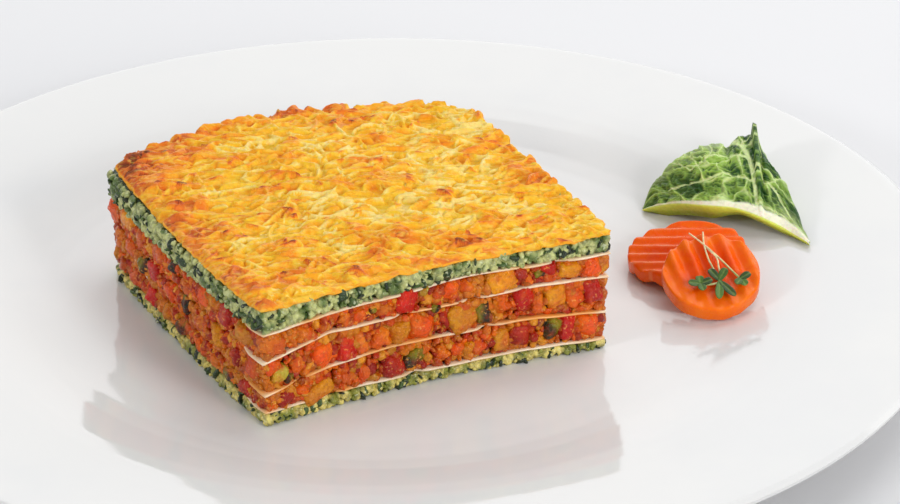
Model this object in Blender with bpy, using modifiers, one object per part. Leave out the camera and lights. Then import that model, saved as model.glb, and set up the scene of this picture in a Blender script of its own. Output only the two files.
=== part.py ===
"""A cut slice of vegetable lasagne on a round plate, with a leaf, two carrot slices and a few cress stems."""

import math
import random

import bmesh
import bpy
import numpy as np
from mathutils import Matrix, Vector

MM = 0.001  # every size below is in millimetres
GAP = 0.3  # clearance between pieces that touch

# Plate, turned about its own axis: (radius, height) outlines
FLOOR_TOP = 11.0  # the well's floor above the table; every other height is above this floor
PLATE_TOP = ((0.0, 0.0), (94.0, 0.0), (97.0, 0.7), (99.0, 2.7), (100.5, 3.9), (148.5, 7.0))
PLATE_LIP = ((150.0, 6.0), (149.2, 4.2))
PLATE_UNDERSIDE = ((104.5, 0.5), (92.0, -5.0), (78.0, -5.6))
PLATE_FOOT = ((77.4, -11.0), (72.5, -11.0), (71.7, -5.0), (0.0, -5.0))
PLATE_STEPS = 64

# Plan of the slice at the well's floor: its corners, and how far each cut bows outwards
FRONT = (-28.2, -70.8)
RIGHT = (58.6, -30.2)
BACK = (21.5, 51.0)
LEFT = (-71.4, 14.6)
BOW_FRONT_RIGHT = -4.2
BOW_RIGHT_BACK = -0.8
BOW_BACK_LEFT = 9.2
BOW_LEFT_FRONT = 0.8
BACK_LEFT_SKEW = 0.87  # under 1, so that this cut bows most nearer the left corner
CORNER_PULL = 1.2
BACK_CORNER_PULL = 6.0
SLICE_HALF_WIDTH = 45.0
TOP_FLARE = 0.8  # the top is this much further out than the base
SLICE_HEIGHT = 36.0
CRUST_LEFT_INSET = 2.4  # the baked crust has shrunk back from the left corner

# Middle height of each pasta sheet and of the crust's underside, above the well's floor:
# six even steps along the front right cut, then the left and the back corner
LEVELS = {
    "sheet_4": ((4.2, 4.3, 3.7, 3.0, 3.0, 2.9), 3.1, 3.2),
    "sheet_3": ((9.0, 12.0, 12.7, 12.1, 12.6, 11.0), 8.9, 10.6),
    "sheet_2": ((18.0, 22.0, 21.6, 21.4, 21.7, 20.5), 15.8, 19.0),
    "sheet_1": ((25.8, 27.0, 27.2, 28.5, 28.2, 28.0), 22.8, 26.0),
    "crust": ((32.8, 32.5, 32.7, 32.9, 32.4, 33.0), 29.8, 31.2),
}
WAVE = 0.45  # height of the gentle waves in the layers
WAVE_TURNS = (5.2, 4.4)  # radians over the slice's width and depth
SHEET_THICKNESS = 1.2
CELLS = 8  # each layer's grid, the same all through, so that the layers nest

CRUST_THICKNESS = 2.6
CRUST_CROWN = 2.2  # the crust swells towards the browned back edge
CROWN_AT = (0.42, 0.95)
CROWN_REACH = (0.35, 0.4)
SHREDS = (7, 6)  # melted shreds over the width and the depth
SHRED_HALF_SIZE = ((4.0, 7.0), (1.2, 1.9), (0.8, 1.5))
SHRED_SPREAD = 0.4  # radians that the shreds' headings scatter by
CORE_INSET = 1.5  # the bare core of a filling lies this far inside the cut
CORE_SPILL = 0.8  # it is this much too tall, until it is trimmed to the layer's space

# How far the layers stand out at the cuts: the lowest spinach has squeezed out a little
SHEET_GROWTH = 0.3
RAGOUT_GROWTH = 0.6
SPINACH_TOP_GROWTH = 1.0
SPINACH_BOTTOM_GROWTH = 1.5

# Vegetable dice and spinach lumps that show at the four cuts
DICE_PER_LAYER = 30
DICE_SIZE = (4.6, 7.6)
TOP_LUMPS = 32
BOTTOM_LUMPS = 28
LUMP_RADIUS = (2.2, 3.4)

# Crinkle-cut carrot slices: radius, thickness, middle above the floor, turns about X, Y and Z in degrees
CARROTS = {
    "carrot_slice_back": (16.0, 3.6, (82.0, 14.0, 4.1), (0.0, -4.0, 0.0), 80.0),
    "carrot_slice_front": (12.9, 4.6, (87.1, -6.9, 8.3), (23.0, 0.0, 0.0), 17.0),
}
CRINKLE_PITCH = 4.8
CRINKLE_HEIGHT = 0.8
CRINKLE_STEPS = 6  # points a wave
CARROT_SIDES = 28
CARROT_TAPER = 0.985

# Leaf: a cut piece lying hollow side down, from the well's floor up over the rim. It is drawn by its width
# along X and by three lines: the cut edge in front, the crest with its upright tip, and the margin behind.
# Each line is (share of the width, Y, height above the floor).
LEAF_LEFT_X = 71.6
LEAF_WIDTH = 43.0
LEAF_EDGE = (
    (0.0, 46.8, 0.6), (0.19, 41.2, 5.0), (0.4, 33.7, 8.0), (0.58, 31.0, 8.2),
    (0.75, 26.0, 7.2), (0.88, 22.9, 5.6), (1.0, 16.8, 5.4),
)
LEAF_CREST = (
    (0.0, 47.6, 0.8), (0.06, 53.1, 5.0), (0.15, 53.7, 9.0), (0.25, 56.4, 12.0), (0.34, 56.8, 14.0),
    (0.49, 57.1, 15.0), (0.56, 56.5, 14.5), (0.65, 60.7, 17.0), (0.72, 61.7, 20.0), (0.77, 52.6, 15.5),
    (0.86, 40.9, 11.5), (0.94, 28.2, 8.0), (1.0, 17.6, 5.6),
)
LEAF_FALL = (10.0, 11.0)  # the margin lies this far behind the crest, and this much lower, at most
LEAF_CREST_AT = 0.75  # share of the depth where the crest lies
LEAF_BULGE = 1.6
LEAF_LIFT = 1.0  # the leaf's middle surface stays this far over the plate
LEAF_THICKNESS = 0.9
LEAF_CELLS = (18, 12)

# Cress on the front carrot slice: stems as (across, up) on the slice's face, leaves as place, turn and length
STEM_RADIUS = 0.42
STEMS = (
    ((-5.6, 12.0), (-1.9, 7.9), (2.4, 3.2), (7.4, -1.8)),
    ((-1.9, 12.4), (-1.8, 7.9), (-0.9, 3.2), (0.3, 0.2), (2.2, -3.2)),
    ((-1.8, 7.8), (1.3, 3.7), (1.9, 1.0), (2.2, -3.2), (-3.2, -5.4)),
)
LEAFLETS = (
    (7.4, -1.8, 30.0, 3.6),
    (7.4, -2.0, 240.0, 3.2),
    (7.6, -2.0, 290.0, 3.2),
    (1.9, -2.4, 128.0, 4.6),
    (2.2, -2.4, 72.0, 4.2),
    (2.3, -3.6, 270.0, 6.8),
    (2.6, -3.6, 303.0, 7.0),
    (-3.4, -5.3, 182.0, 3.8),
    (-3.2, -5.2, 100.0, 3.0),
    (-3.0, -5.3, 20.0, 3.8),
    (-3.1, -5.5, 280.0, 3.2),
)
LEAFLET_WIDTH = 1.9
LEAFLET_THICKNESS = 0.8
LEAFLET_DROOP = -0.05  # radians

COLOURS = {  # colour, roughness
    "porcelain": ((0.86, 0.86, 0.86), 0.12),
    "browned_cheese": ((0.90, 0.52, 0.10), 0.45),
    "creamed_spinach": ((0.25, 0.38, 0.15), 0.45),
    "pasta": ((0.86, 0.68, 0.45), 0.45),
    "vegetable_filling": ((0.72, 0.20, 0.03), 0.35),
    "leaf_green": ((0.16, 0.33, 0.06), 0.45),
    "carrot": ((0.88, 0.22, 0.02), 0.3),
    "cress": ((0.12, 0.28, 0.05), 0.5),
}


def clear_scene():
    for obj in list(bpy.data.objects):
        bpy.data.objects.remove(obj)


def material(name):
    colour, roughness = COLOURS[name]
    made = bpy.data.materials.new(name)
    made.use_nodes = True
    shader = made.node_tree.nodes["Principled BSDF"]
    shader.inputs["Base Color"].default_value = (*colour, 1)
    shader.inputs["Roughness"].default_value = roughness
    shader.inputs["Metallic"].default_value = 0.0
    return made


def add_object(name, bm, finish, collection, parent):
    mesh = bpy.data.meshes.new(name)
    bm.to_mesh(mesh)
    bm.free()
    mesh.materials.append(finish)
    obj = bpy.data.objects.new(name, mesh)
    collection.objects.link(obj)
    obj.parent = parent
    return obj


def apply_modifiers(obj):
    """Replaces the object's mesh with the one that its modifiers make."""
    bpy.context.view_layer.update()
    graph = bpy.context.evaluated_depsgraph_get()
    old = obj.data
    obj.data = bpy.data.meshes.new_from_object(obj.evaluated_get(graph))
    obj.modifiers.clear()
    bpy.data.meshes.remove(old)


def boolean(obj, operation, other):
    """Joins a collection's objects to obj, or cuts obj with one object, and removes them."""
    modifier = obj.modifiers.new(operation.lower(), "BOOLEAN")
    modifier.operation = operation
    modifier.solver = "MANIFOLD"
    if isinstance(other, bpy.types.Collection):
        modifier.operand_type = "COLLECTION"
        modifier.collection = other
        used = list(other.objects)
    else:
        modifier.object = other
        used = [other]
    apply_modifiers(obj)
    for piece in used:
        bpy.data.objects.remove(piece)


def keep_largest_body(obj):
    """Drops the loose scraps that a cut leaves."""
    bm = bmesh.new()
    bm.from_mesh(obj.data)
    left = set(bm.verts)
    bodies = []
    while left:
        seed = left.pop()
        body, edge = {seed}, [seed]
        while edge:
            for link in edge.pop().link_edges:
                for vert in link.verts:
                    if vert in left:
                        left.remove(vert)
                        body.add(vert)
                        edge.append(vert)
        bodies.append(body)
    bodies.sort(key=len, reverse=True)
    for body in bodies[1:]:
        bmesh.ops.delete(bm, geom=list(body), context="VERTS")
    bm.to_mesh(obj.data)
    bm.free()


def plate_top(radius):
    """Height of the plate's upper face above the well's floor."""
    radii, heights = zip(*PLATE_TOP)
    return float(np.interp(radius, radii, heights))


def make_plate(collection, finish):
    """The plate's half section, turned by a Screw: from the middle out over the rim and back under the foot."""
    bm = bmesh.new()
    section = PLATE_TOP + PLATE_LIP + PLATE_UNDERSIDE + PLATE_FOOT
    points = [bm.verts.new((r * MM, 0, (z + FLOOR_TOP) * MM)) for r, z in section]
    for start, end in zip(points, points[1:]):
        bm.edges.new((start, end))
    plate = add_object("plate", bm, finish, collection, None)
    screw = plate.modifiers.new("turn", "SCREW")
    screw.steps = screw.render_steps = PLATE_STEPS
    screw.use_merge_vertices = True
    screw.merge_threshold = 0.00005
    apply_modifiers(plate)
    plate.data.shade_smooth()
    plate.data.set_sharp_from_angle(angle=math.radians(40))
    return plate


def side(start, end, bow, t, skew=1.0):
    """A point along one cut of the slice. The bow is towards the right of the way from start to end."""
    start, end = np.array(start), np.array(end)
    along = end - start
    outwards = np.array((along[1], -along[0])) / np.hypot(*along)
    return start + along * t + outwards * bow * 4 * t**skew * (1 - t**skew)


def plan_point(u, v, height=0.0, grow=0.0, left_inset=0.0):
    """Where (u, v) lies in plan: u runs along the front right cut and v along the left one, each 0 to 1."""
    front = side(FRONT, RIGHT, BOW_FRONT_RIGHT, u)
    back = side(LEFT, BACK, -BOW_BACK_LEFT, u, BACK_LEFT_SKEW)
    left = side(FRONT, LEFT, -BOW_LEFT_FRONT, v)
    right = side(RIGHT, BACK, BOW_RIGHT_BACK, v)
    corners = [np.array(c) for c in (FRONT, RIGHT, LEFT, BACK)]
    flat = (1 - v) * ((1 - u) * corners[0] + u * corners[1]) + v * ((1 - u) * corners[2] + u * corners[3])
    point = (1 - v) * front + v * back + (1 - u) * left + u * right - flat
    middle = sum(corners) / 4
    away = point - middle
    reach = np.hypot(*away)
    corner = (abs(2 * u - 1) * abs(2 * v - 1)) ** 8
    pull = CORNER_PULL + (BACK_CORNER_PULL if u > 0.5 and v > 0.5 else 0.0)
    factor = 1 + (grow + TOP_FLARE * height / SLICE_HEIGHT) / SLICE_HALF_WIDTH
    point = middle + away * factor - (away / max(reach, 1e-6)) * pull * corner
    return point + np.array((left_inset * (1 - u) * v, 0.0))


def level_height(name, u, v):
    """Height of a level at (u, v): its line along the front right cut, ruled to a straight back, with waves."""
    along, left, back = LEVELS[name]
    front = np.interp(u, np.linspace(0, 1, len(along)), along)
    phase = along[0]
    wave = WAVE * math.sin(WAVE_TURNS[0] * u + phase) * math.sin(WAVE_TURNS[1] * v + 2 * phase)
    return float(front * (1 - v) + (left * (1 - u) + back * u) * v + wave)


def interface(name, offset):
    return lambda u, v: level_height(name, u, v) + offset


def slab_mesh(bottom, top, grow=0.0, left_inset=0.0):
    """A cube cut into a grid, then shaped: its sides follow the cuts, its faces two height functions."""
    bm = bmesh.new()
    bmesh.ops.create_cube(bm, size=1.0)
    flat_edges = [e for e in bm.edges if abs(e.verts[0].co.z - e.verts[1].co.z) < 0.5]
    bmesh.ops.subdivide_edges(bm, edges=flat_edges, cuts=CELLS - 1, use_grid_fill=True)
    for face in [f for f in bm.faces if abs(f.normal.z) > 0.5]:
        corners = sorted(face.verts, key=lambda vert: vert.co.x + vert.co.y)
        bmesh.utils.face_split(face, corners[0], corners[-1])
    for vert in bm.verts:
        u, v = vert.co.x + 0.5, vert.co.y + 0.5
        height = top(u, v) if vert.co.z > 0 else bottom(u, v)
        x, y = plan_point(u, v, height, grow, left_inset)
        vert.co = Vector((x, y, height)) * MM
    return bm


def rim_position(share):
    """(u, v) at a share of the way round the four cuts."""
    which, t = divmod(share % 1.0 * 4, 1.0)
    return ((t, 0.0), (1.0, t), (1.0 - t, 1.0), (0.0, 1.0 - t))[int(which)]


def add_piece(collection, place, turn, half_size, boxy, axes="XYZ"):
    """One die, lump or small leaf, as a helper that a Boolean fuses on."""
    bm = bmesh.new()
    if boxy:
        bmesh.ops.create_cube(bm, size=2.0)
    else:
        bmesh.ops.create_icosphere(bm, subdivisions=1, radius=1.0)
    matrix = Matrix.Translation(Vector(place) * MM)
    for axis, angle in zip(axes, turn):
        matrix = matrix @ Matrix.Rotation(angle, 4, axis)
    matrix = matrix @ Matrix.Diagonal((*(s * MM for s in half_size), 1.0))
    bmesh.ops.transform(bm, matrix=matrix, verts=bm.verts)
    mesh = bpy.data.meshes.new("piece")
    bm.to_mesh(mesh)
    bm.free()
    obj = bpy.data.objects.new("piece", mesh)
    obj.hide_render = True
    obj.display_type = "WIRE"
    collection.objects.link(obj)
    return obj


def make_filling(name, bottom, top, growth, pieces, helpers, finish, collection, parent):
    """A layer of filling: a core with the pieces that show at its cuts fused on, trimmed to its space."""
    core = slab_mesh(lambda u, v: bottom(u, v) - CORE_SPILL, lambda u, v: top(u, v) + CORE_SPILL, -CORE_INSET)
    layer = add_object(name, core, finish, collection, None)
    pieces(bottom, top, helpers)
    boolean(layer, "UNION", helpers)
    space = add_object("space", slab_mesh(bottom, top, growth), finish, helpers, None)
    boolean(layer, "INTERSECT", space)
    keep_largest_body(layer)
    layer.parent = parent
    return layer


def dice(seed):
    """Vegetable dice spread round the cuts, each sunk in the core."""

    def place(bottom, top, helpers):
        draw = random.Random(seed)
        for i in range(DICE_PER_LAYER):
            u, v = rim_position((i + draw.uniform(-0.3, 0.3)) / DICE_PER_LAYER)
            half = [draw.uniform(*DICE_SIZE) / 2 for _ in range(3)]
            low, high = bottom(u, v), top(u, v)
            room = max(0.0, high - low - 2 * min(half))
            z = (low + high) / 2 + (draw.random() - 0.5) * room
            x, y = plan_point(u, v, z, RAGOUT_GROWTH - max(half) * draw.uniform(0.75, 1.05))
            turn = [draw.uniform(-0.5, 0.5), draw.uniform(-0.5, 0.5), draw.uniform(0, math.pi)]
            add_piece(helpers, (x, y, z), turn, half, boxy=True)

    return place


def lumps(count, growth, seed):
    """Soft lumps of creamed spinach spread round the cuts."""

    def place(bottom, top, helpers):
        draw = random.Random(seed)
        for i in range(count):
            u, v = rim_position((i + draw.uniform(-0.3, 0.3)) / count)
            size = draw.uniform(*LUMP_RADIUS)
            z = (bottom(u, v) + top(u, v)) / 2 + draw.uniform(-0.6, 0.6)
            x, y = plan_point(u, v, z, growth - size * draw.uniform(0.75, 1.05))
            turn = [draw.uniform(0, math.pi) for _ in range(3)]
            add_piece(helpers, (x, y, z), turn, (size, size * 0.85, size * 0.8), boxy=False)

    return place


def crust_top(u, v):
    """The crust is thickest over its browned back edge and thin along the two front cuts."""
    across, back = ((at - middle) / reach for at, middle, reach in zip((u, v), CROWN_AT, CROWN_REACH))
    crown = CRUST_CROWN * math.exp(-across * across - back * back)
    return level_height("crust", u, v) + GAP / 2 + CRUST_THICKNESS + crown


def make_crust(helpers, finish, collection, parent):
    """The cheese crust: a thin slab with melted shreds fused on its top, most of them lying along X."""
    slab = slab_mesh(interface("crust", GAP / 2), crust_top, left_inset=CRUST_LEFT_INSET)
    crust = add_object("cheese_crust", slab, finish, collection, None)
    draw = random.Random(5)
    across, deep = SHREDS
    for i in range(across * deep):
        u = min(0.97, max(0.03, (i % across + draw.uniform(0.1, 0.9)) / across))
        v = min(0.97, max(0.03, (i // across + draw.uniform(0.1, 0.9)) / deep))
        z = crust_top(u, v)
        x, y = plan_point(u, v, z, left_inset=CRUST_LEFT_INSET)
        half = [draw.uniform(*sizes) for sizes in SHRED_HALF_SIZE]
        turn = (draw.uniform(-0.1, 0.1), draw.uniform(-0.1, 0.1), draw.gauss(0.0, SHRED_SPREAD))
        add_piece(helpers, (x, y, z), turn, half, boxy=False)
    boolean(crust, "UNION", helpers)
    keep_largest_body(crust)
    crust.parent = parent
    return crust


def make_slice(helpers, finishes, collection, parent):
    """All the layers, from the well's floor up."""
    half_sheet = SHEET_THICKNESS / 2
    clear = half_sheet + GAP
    floor = lambda u, v: GAP
    make_filling("spinach_layer_bottom", floor, interface("sheet_4", -clear), SPINACH_BOTTOM_GROWTH,
                 lumps(BOTTOM_LUMPS, SPINACH_BOTTOM_GROWTH, 11), helpers,
                 finishes["creamed_spinach"], collection, parent)
    for number in (4, 3, 2, 1):
        level = f"sheet_{number}"
        sheet = slab_mesh(interface(level, -half_sheet), interface(level, half_sheet), SHEET_GROWTH)
        add_object(f"pasta_{level}", sheet, finishes["pasta"], collection, parent)
    for number in (3, 2, 1):
        make_filling(f"ragout_layer_{number}", interface(f"sheet_{number + 1}", clear),
                     interface(f"sheet_{number}", -clear), RAGOUT_GROWTH, dice(20 + number), helpers,
                     finishes["vegetable_filling"], collection, parent)
    make_filling("spinach_layer_top", interface("sheet_1", clear), interface("crust", -GAP / 2),
                 SPINACH_TOP_GROWTH, lumps(TOP_LUMPS, SPINACH_TOP_GROWTH, 12), helpers,
                 finishes["creamed_spinach"], collection, parent)
    make_crust(helpers, finishes["browned_cheese"], collection, parent)


def crinkle_outline(radius, thickness):
    """A wavy strip in the XY plane: both its long edges carry the same wave."""
    steps = int(2 * radius / CRINKLE_PITCH * CRINKLE_STEPS)
    xs = np.linspace(-radius - 2, radius + 2, steps)
    wave = CRINKLE_HEIGHT * np.sin(2 * math.pi * xs / CRINKLE_PITCH)
    upper = [(x, thickness / 2 + w) for x, w in zip(xs, wave)]
    lower = [(x, -thickness / 2 + w) for x, w in zip(xs, wave)]
    return upper + lower[::-1]


def make_carrot(name, helpers, finish, collection, parent):
    """A crinkle-cut slice: a carrot's round body with a wavy strip's thickness."""
    radius, thickness, place, turn, ridge_turn = CARROTS[name]
    curve = bpy.data.curves.new("strip", "CURVE")
    curve.dimensions = "2D"
    curve.fill_mode = "BOTH"
    curve.extrude = (radius + 3) * MM
    outline = crinkle_outline(radius, thickness)
    spline = curve.splines.new("POLY")
    spline.points.add(len(outline) - 1)
    for point, (x, y) in zip(spline.points, outline):
        point.co = (x * MM, y * MM, 0, 1)
    spline.use_cyclic_u = True
    strip = bpy.data.objects.new("strip", curve)
    strip.rotation_euler = (math.radians(90), 0, math.radians(ridge_turn))
    helpers.objects.link(strip)
    bpy.context.view_layer.update()
    graph = bpy.context.evaluated_depsgraph_get()
    mesh = bpy.data.meshes.new_from_object(strip.evaluated_get(graph))
    bm = bmesh.new()
    bm.from_mesh(mesh)
    bmesh.ops.remove_doubles(bm, verts=bm.verts, dist=0.00001)
    bmesh.ops.transform(bm, matrix=strip.matrix_world, verts=bm.verts)
    bmesh.ops.recalc_face_normals(bm, faces=bm.faces)
    bpy.data.objects.remove(strip)
    slab = add_object("slab", bm, finish, helpers, None)
    body = bmesh.new()
    bmesh.ops.create_cone(body, cap_ends=True, segments=CARROT_SIDES, radius1=radius * CARROT_TAPER * MM,
                          radius2=radius * MM, depth=(thickness + 4 * CRINKLE_HEIGHT) * MM)
    carrot = add_object(name, body, finish, collection, None)
    boolean(carrot, "INTERSECT", slab)
    carrot.rotation_euler = [math.radians(a) for a in turn]
    carrot.location = Vector(place) * MM
    carrot.parent = parent
    return carrot


def leaf_line(line, s):
    """Y and height of one of the leaf's lines at a share of its width."""
    shares, across, heights = zip(*line)
    return np.array((np.interp(s, shares, across), np.interp(s, shares, heights)))


def leaf_point(s, t):
    """A point of the leaf: s runs along its cut edge, and t back from it over the crest to the far margin."""
    x = LEAF_LEFT_X + LEAF_WIDTH * s
    edge, crest = leaf_line(LEAF_EDGE, s), leaf_line(LEAF_CREST, s)
    swell = max(0.0, math.sin(math.pi * s))
    if t < LEAF_CREST_AT:
        rise = t / LEAF_CREST_AT
        y = edge[0] + (crest[0] - edge[0]) * rise
        z = edge[1] + (crest[1] - edge[1]) * rise + LEAF_BULGE * swell * math.sin(math.pi * rise)
    else:
        fall = (t - LEAF_CREST_AT) / (1 - LEAF_CREST_AT)
        y = crest[0] + LEAF_FALL[0] * swell * fall
        z = crest[1] - LEAF_FALL[1] * swell * fall**1.6
    lowest = plate_top(math.hypot(x, y)) + LEAF_LIFT
    return Vector((x, y, max(z, lowest))) * MM


def make_leaf(finish, collection, parent):
    bm = bmesh.new()
    bmesh.ops.create_grid(bm, x_segments=LEAF_CELLS[0], y_segments=LEAF_CELLS[1], size=0.5)
    for vert in bm.verts:
        vert.co = leaf_point(vert.co.x + 0.5, vert.co.y + 0.5)
    bmesh.ops.triangulate(bm, faces=bm.faces, quad_method="FIXED")
    leaf = add_object("leaf", bm, finish, collection, parent)
    thick = leaf.modifiers.new("thickness", "SOLIDIFY")
    thick.thickness = LEAF_THICKNESS * MM
    thick.offset = 0.0
    leaf.data.shade_smooth()
    return leaf


def make_cress(helpers, finish, collection, parent):
    """Thin stems with small leaves, fused into one piece that lies on the front carrot slice's ridges."""
    radius, thickness, place, turn, _ = CARROTS["carrot_slice_front"]
    lift = thickness / 2 + CRINKLE_HEIGHT + GAP + STEM_RADIUS
    tubes = []
    for stem in STEMS:
        curve = bpy.data.curves.new("stem", "CURVE")
        curve.dimensions = "3D"
        curve.bevel_depth = STEM_RADIUS * MM
        curve.bevel_resolution = 1
        curve.use_fill_caps = True
        spline = curve.splines.new("POLY")
        spline.points.add(len(stem) - 1)
        for point, (x, y) in zip(spline.points, stem):
            point.co = (x * MM, y * MM, lift * MM, 1)
        tube = bpy.data.objects.new("stem", curve)
        helpers.objects.link(tube)
        bpy.context.view_layer.update()
        graph = bpy.context.evaluated_depsgraph_get()
        bm = bmesh.new()
        bm.from_mesh(bpy.data.meshes.new_from_object(tube.evaluated_get(graph)))
        bmesh.ops.remove_doubles(bm, verts=bm.verts, dist=0.00001)
        bmesh.ops.recalc_face_normals(bm, faces=bm.faces)
        bpy.data.objects.remove(tube)
        tubes.append(bm)
    cress = add_object("cress", tubes[0], finish, collection, None)
    for bm in tubes[1:]:
        add_object("stem", bm, finish, helpers, None)
    for x, y, angle, length in LEAFLETS:
        heading = math.radians(angle)
        out = Vector((math.cos(heading), math.sin(heading))) * length * 0.32
        half = (length / 2, LEAFLET_WIDTH / 2, LEAFLET_THICKNESS / 2)
        heading_and_droop = (heading, LEAFLET_DROOP)
        add_piece(helpers, (x + out.x, y + out.y, lift), heading_and_droop, half, boxy=False, axes="ZY")
    boolean(cress, "UNION", helpers)
    keep_largest_body(cress)
    cress.rotation_euler = [math.radians(a) for a in turn]
    cress.location = Vector(place) * MM
    cress.parent = parent
    return cress


def main():
    clear_scene()
    collection = bpy.data.collections.new("lasagne_plate")
    helpers = bpy.data.collections.new("helpers")
    helpers.hide_render = True
    for made in (collection, helpers):
        bpy.context.scene.collection.children.link(made)
    finishes = {name: material(name) for name in COLOURS}
    make_plate(collection, finishes["porcelain"])
    well = bpy.data.objects.new("well_floor", None)
    well.location = (0, 0, FLOOR_TOP * MM)
    collection.objects.link(well)
    make_slice(helpers, finishes, collection, well)
    for name in CARROTS:
        make_carrot(name, helpers, finishes["carrot"], collection, well)
    make_leaf(finishes["leaf_green"], collection, well)
    make_cress(helpers, finishes["cress"], collection, well)


main()
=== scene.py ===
# A slice of vegetable lasagne on its plate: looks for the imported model.
import math

import bpy
import numpy as np
from mathutils import Matrix, Vector


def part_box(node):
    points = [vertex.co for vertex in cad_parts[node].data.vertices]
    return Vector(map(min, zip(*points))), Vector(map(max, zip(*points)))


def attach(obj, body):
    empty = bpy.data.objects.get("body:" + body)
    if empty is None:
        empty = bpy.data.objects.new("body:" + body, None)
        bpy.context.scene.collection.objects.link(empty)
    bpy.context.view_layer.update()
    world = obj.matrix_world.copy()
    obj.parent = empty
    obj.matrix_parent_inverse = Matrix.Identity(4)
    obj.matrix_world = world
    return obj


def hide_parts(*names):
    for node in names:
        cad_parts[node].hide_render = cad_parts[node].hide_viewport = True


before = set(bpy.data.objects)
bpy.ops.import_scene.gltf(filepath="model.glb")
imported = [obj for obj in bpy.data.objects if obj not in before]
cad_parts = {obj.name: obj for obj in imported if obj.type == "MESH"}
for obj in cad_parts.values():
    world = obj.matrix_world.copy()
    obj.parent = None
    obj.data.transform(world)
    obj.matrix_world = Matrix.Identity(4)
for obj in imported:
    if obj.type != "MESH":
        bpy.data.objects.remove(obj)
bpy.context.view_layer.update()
mm = 0.001
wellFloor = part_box("plate")[1][2] / mm - 7.0  # height of the plate's well above the table
print("frame loaded")


# arrays and meshes
def ramp(value, low, high):  # 0 below low, 1 above high, smooth between
    t = np.clip((value - low) / (high - low), 0, 1)
    return t * t * (3 - 2 * t)


def latticeValue(ix, iy, iz, seed):  # a fixed number from 0 to 1 for each lattice point
    h = (ix * 374761393 + iy * 668265263 + iz * 1442695041 + seed * 974634777) & 0xFFFFFFFF
    h = ((h ^ (h >> 13)) * 1274126177) & 0xFFFFFFFF
    return ((h ^ (h >> 16)) & 0xFFFF) / 65535.0


def softNoise(points, size, seed):  # value noise, -1 to 1: lattice values blended with smooth weights
    p = points / size
    base = np.floor(p).astype(np.int64)
    f = p - base
    f = f * f * (3 - 2 * f)
    total = np.zeros(len(points))
    for corner in range(8):
        step = np.array((corner & 1, corner >> 1 & 1, corner >> 2 & 1))
        weight = np.prod(np.where(step, f, 1 - f), axis=1)
        cell = base + step
        total += weight * latticeValue(cell[:, 0], cell[:, 1], cell[:, 2], seed)
    return total * 2 - 1


def gridFaces(rows, columns, start=0, closed=False):  # quads between neighbouring rows and columns
    across = np.arange(columns if closed else columns - 1)
    down = np.arange(rows - 1)
    i, j = np.meshgrid(down, across, indexing="ij")
    k = (j + 1) % columns
    quads = np.stack((i * columns + j, i * columns + k, (i + 1) * columns + k, (i + 1) * columns + j), -1)
    return quads.reshape(-1, 4) + start


def gridBorder(index):  # once round a grid of point numbers
    return np.concatenate((index[0, :-1], index[:-1, -1], index[-1, :0:-1], index[:0:-1, 0]))


def fanFaces(ring, centre):  # triangles from each pair of neighbours on a closed ring to one point
    return np.stack((ring, np.roll(ring, -1), np.full(len(ring), centre)), -1)


def makePiece(name, points, faces, material, dye=None, extra=None):  # a mesh object from whole arrays, in mm
    mesh = bpy.data.meshes.new(name)
    mesh.vertices.add(len(points))
    mesh.vertices.foreach_set("co", (np.asarray(points) * mm).astype(np.float32).ravel())
    faces = [f for f in faces if len(f)]
    sizes = np.concatenate([np.full(len(f), f.shape[1]) for f in faces])
    mesh.loops.add(int(sizes.sum()))
    mesh.loops.foreach_set("vertex_index", np.concatenate([f.ravel() for f in faces]).astype(np.int32))
    mesh.polygons.add(len(sizes))
    mesh.polygons.foreach_set("loop_start", (np.cumsum(sizes) - sizes).astype(np.int32))
    mesh.update(calc_edges=True)
    if dye is not None:
        layer = mesh.color_attributes.new("dye", "FLOAT_COLOR", "POINT")
        layer.data.foreach_set("color", np.column_stack((dye, np.ones(len(dye)))).astype(np.float32).ravel())
    for key, values in (extra or {}).items():
        layer = mesh.attributes.new(key, "FLOAT", "POINT")
        layer.data.foreach_set("value", np.asarray(values, dtype=np.float32))
    mesh.shade_smooth()
    mesh.materials.append(material)
    piece = bpy.data.objects.new(name, mesh)
    bpy.context.scene.collection.objects.link(piece)
    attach(piece, "root")
    return piece


def surfaceNormals(grid):  # unit normals of a grid of points, from the slopes along its rows and columns
    down = np.gradient(grid, axis=0)
    across = np.gradient(grid, axis=1)
    normal = np.cross(across, down)
    return normal / np.maximum(np.linalg.norm(normal, axis=2, keepdims=True), 1e-9)


def paint(red, green, blue):  # screen colour, 0 to 255, as light
    c = np.array((red, green, blue)) / 255.0
    return np.where(c < 0.04045, c / 12.92, ((c + 0.055) / 1.055) ** 2.4)


def blended(first, second, share):  # the first where the share is 0, the second where it is 1
    return first * (1 - share) + second * share


# materials
def addNode(tree, kind, inputs=None, **settings):  # a node with its inputs linked or set
    made = tree.nodes.new(kind)
    for key, value in settings.items():
        setattr(made, key, value)
    for key, value in (inputs or {}).items():
        if isinstance(value, bpy.types.NodeSocket):
            tree.links.new(value, made.inputs[key])
        else:
            made.inputs[key].default_value = value
    return made


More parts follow.
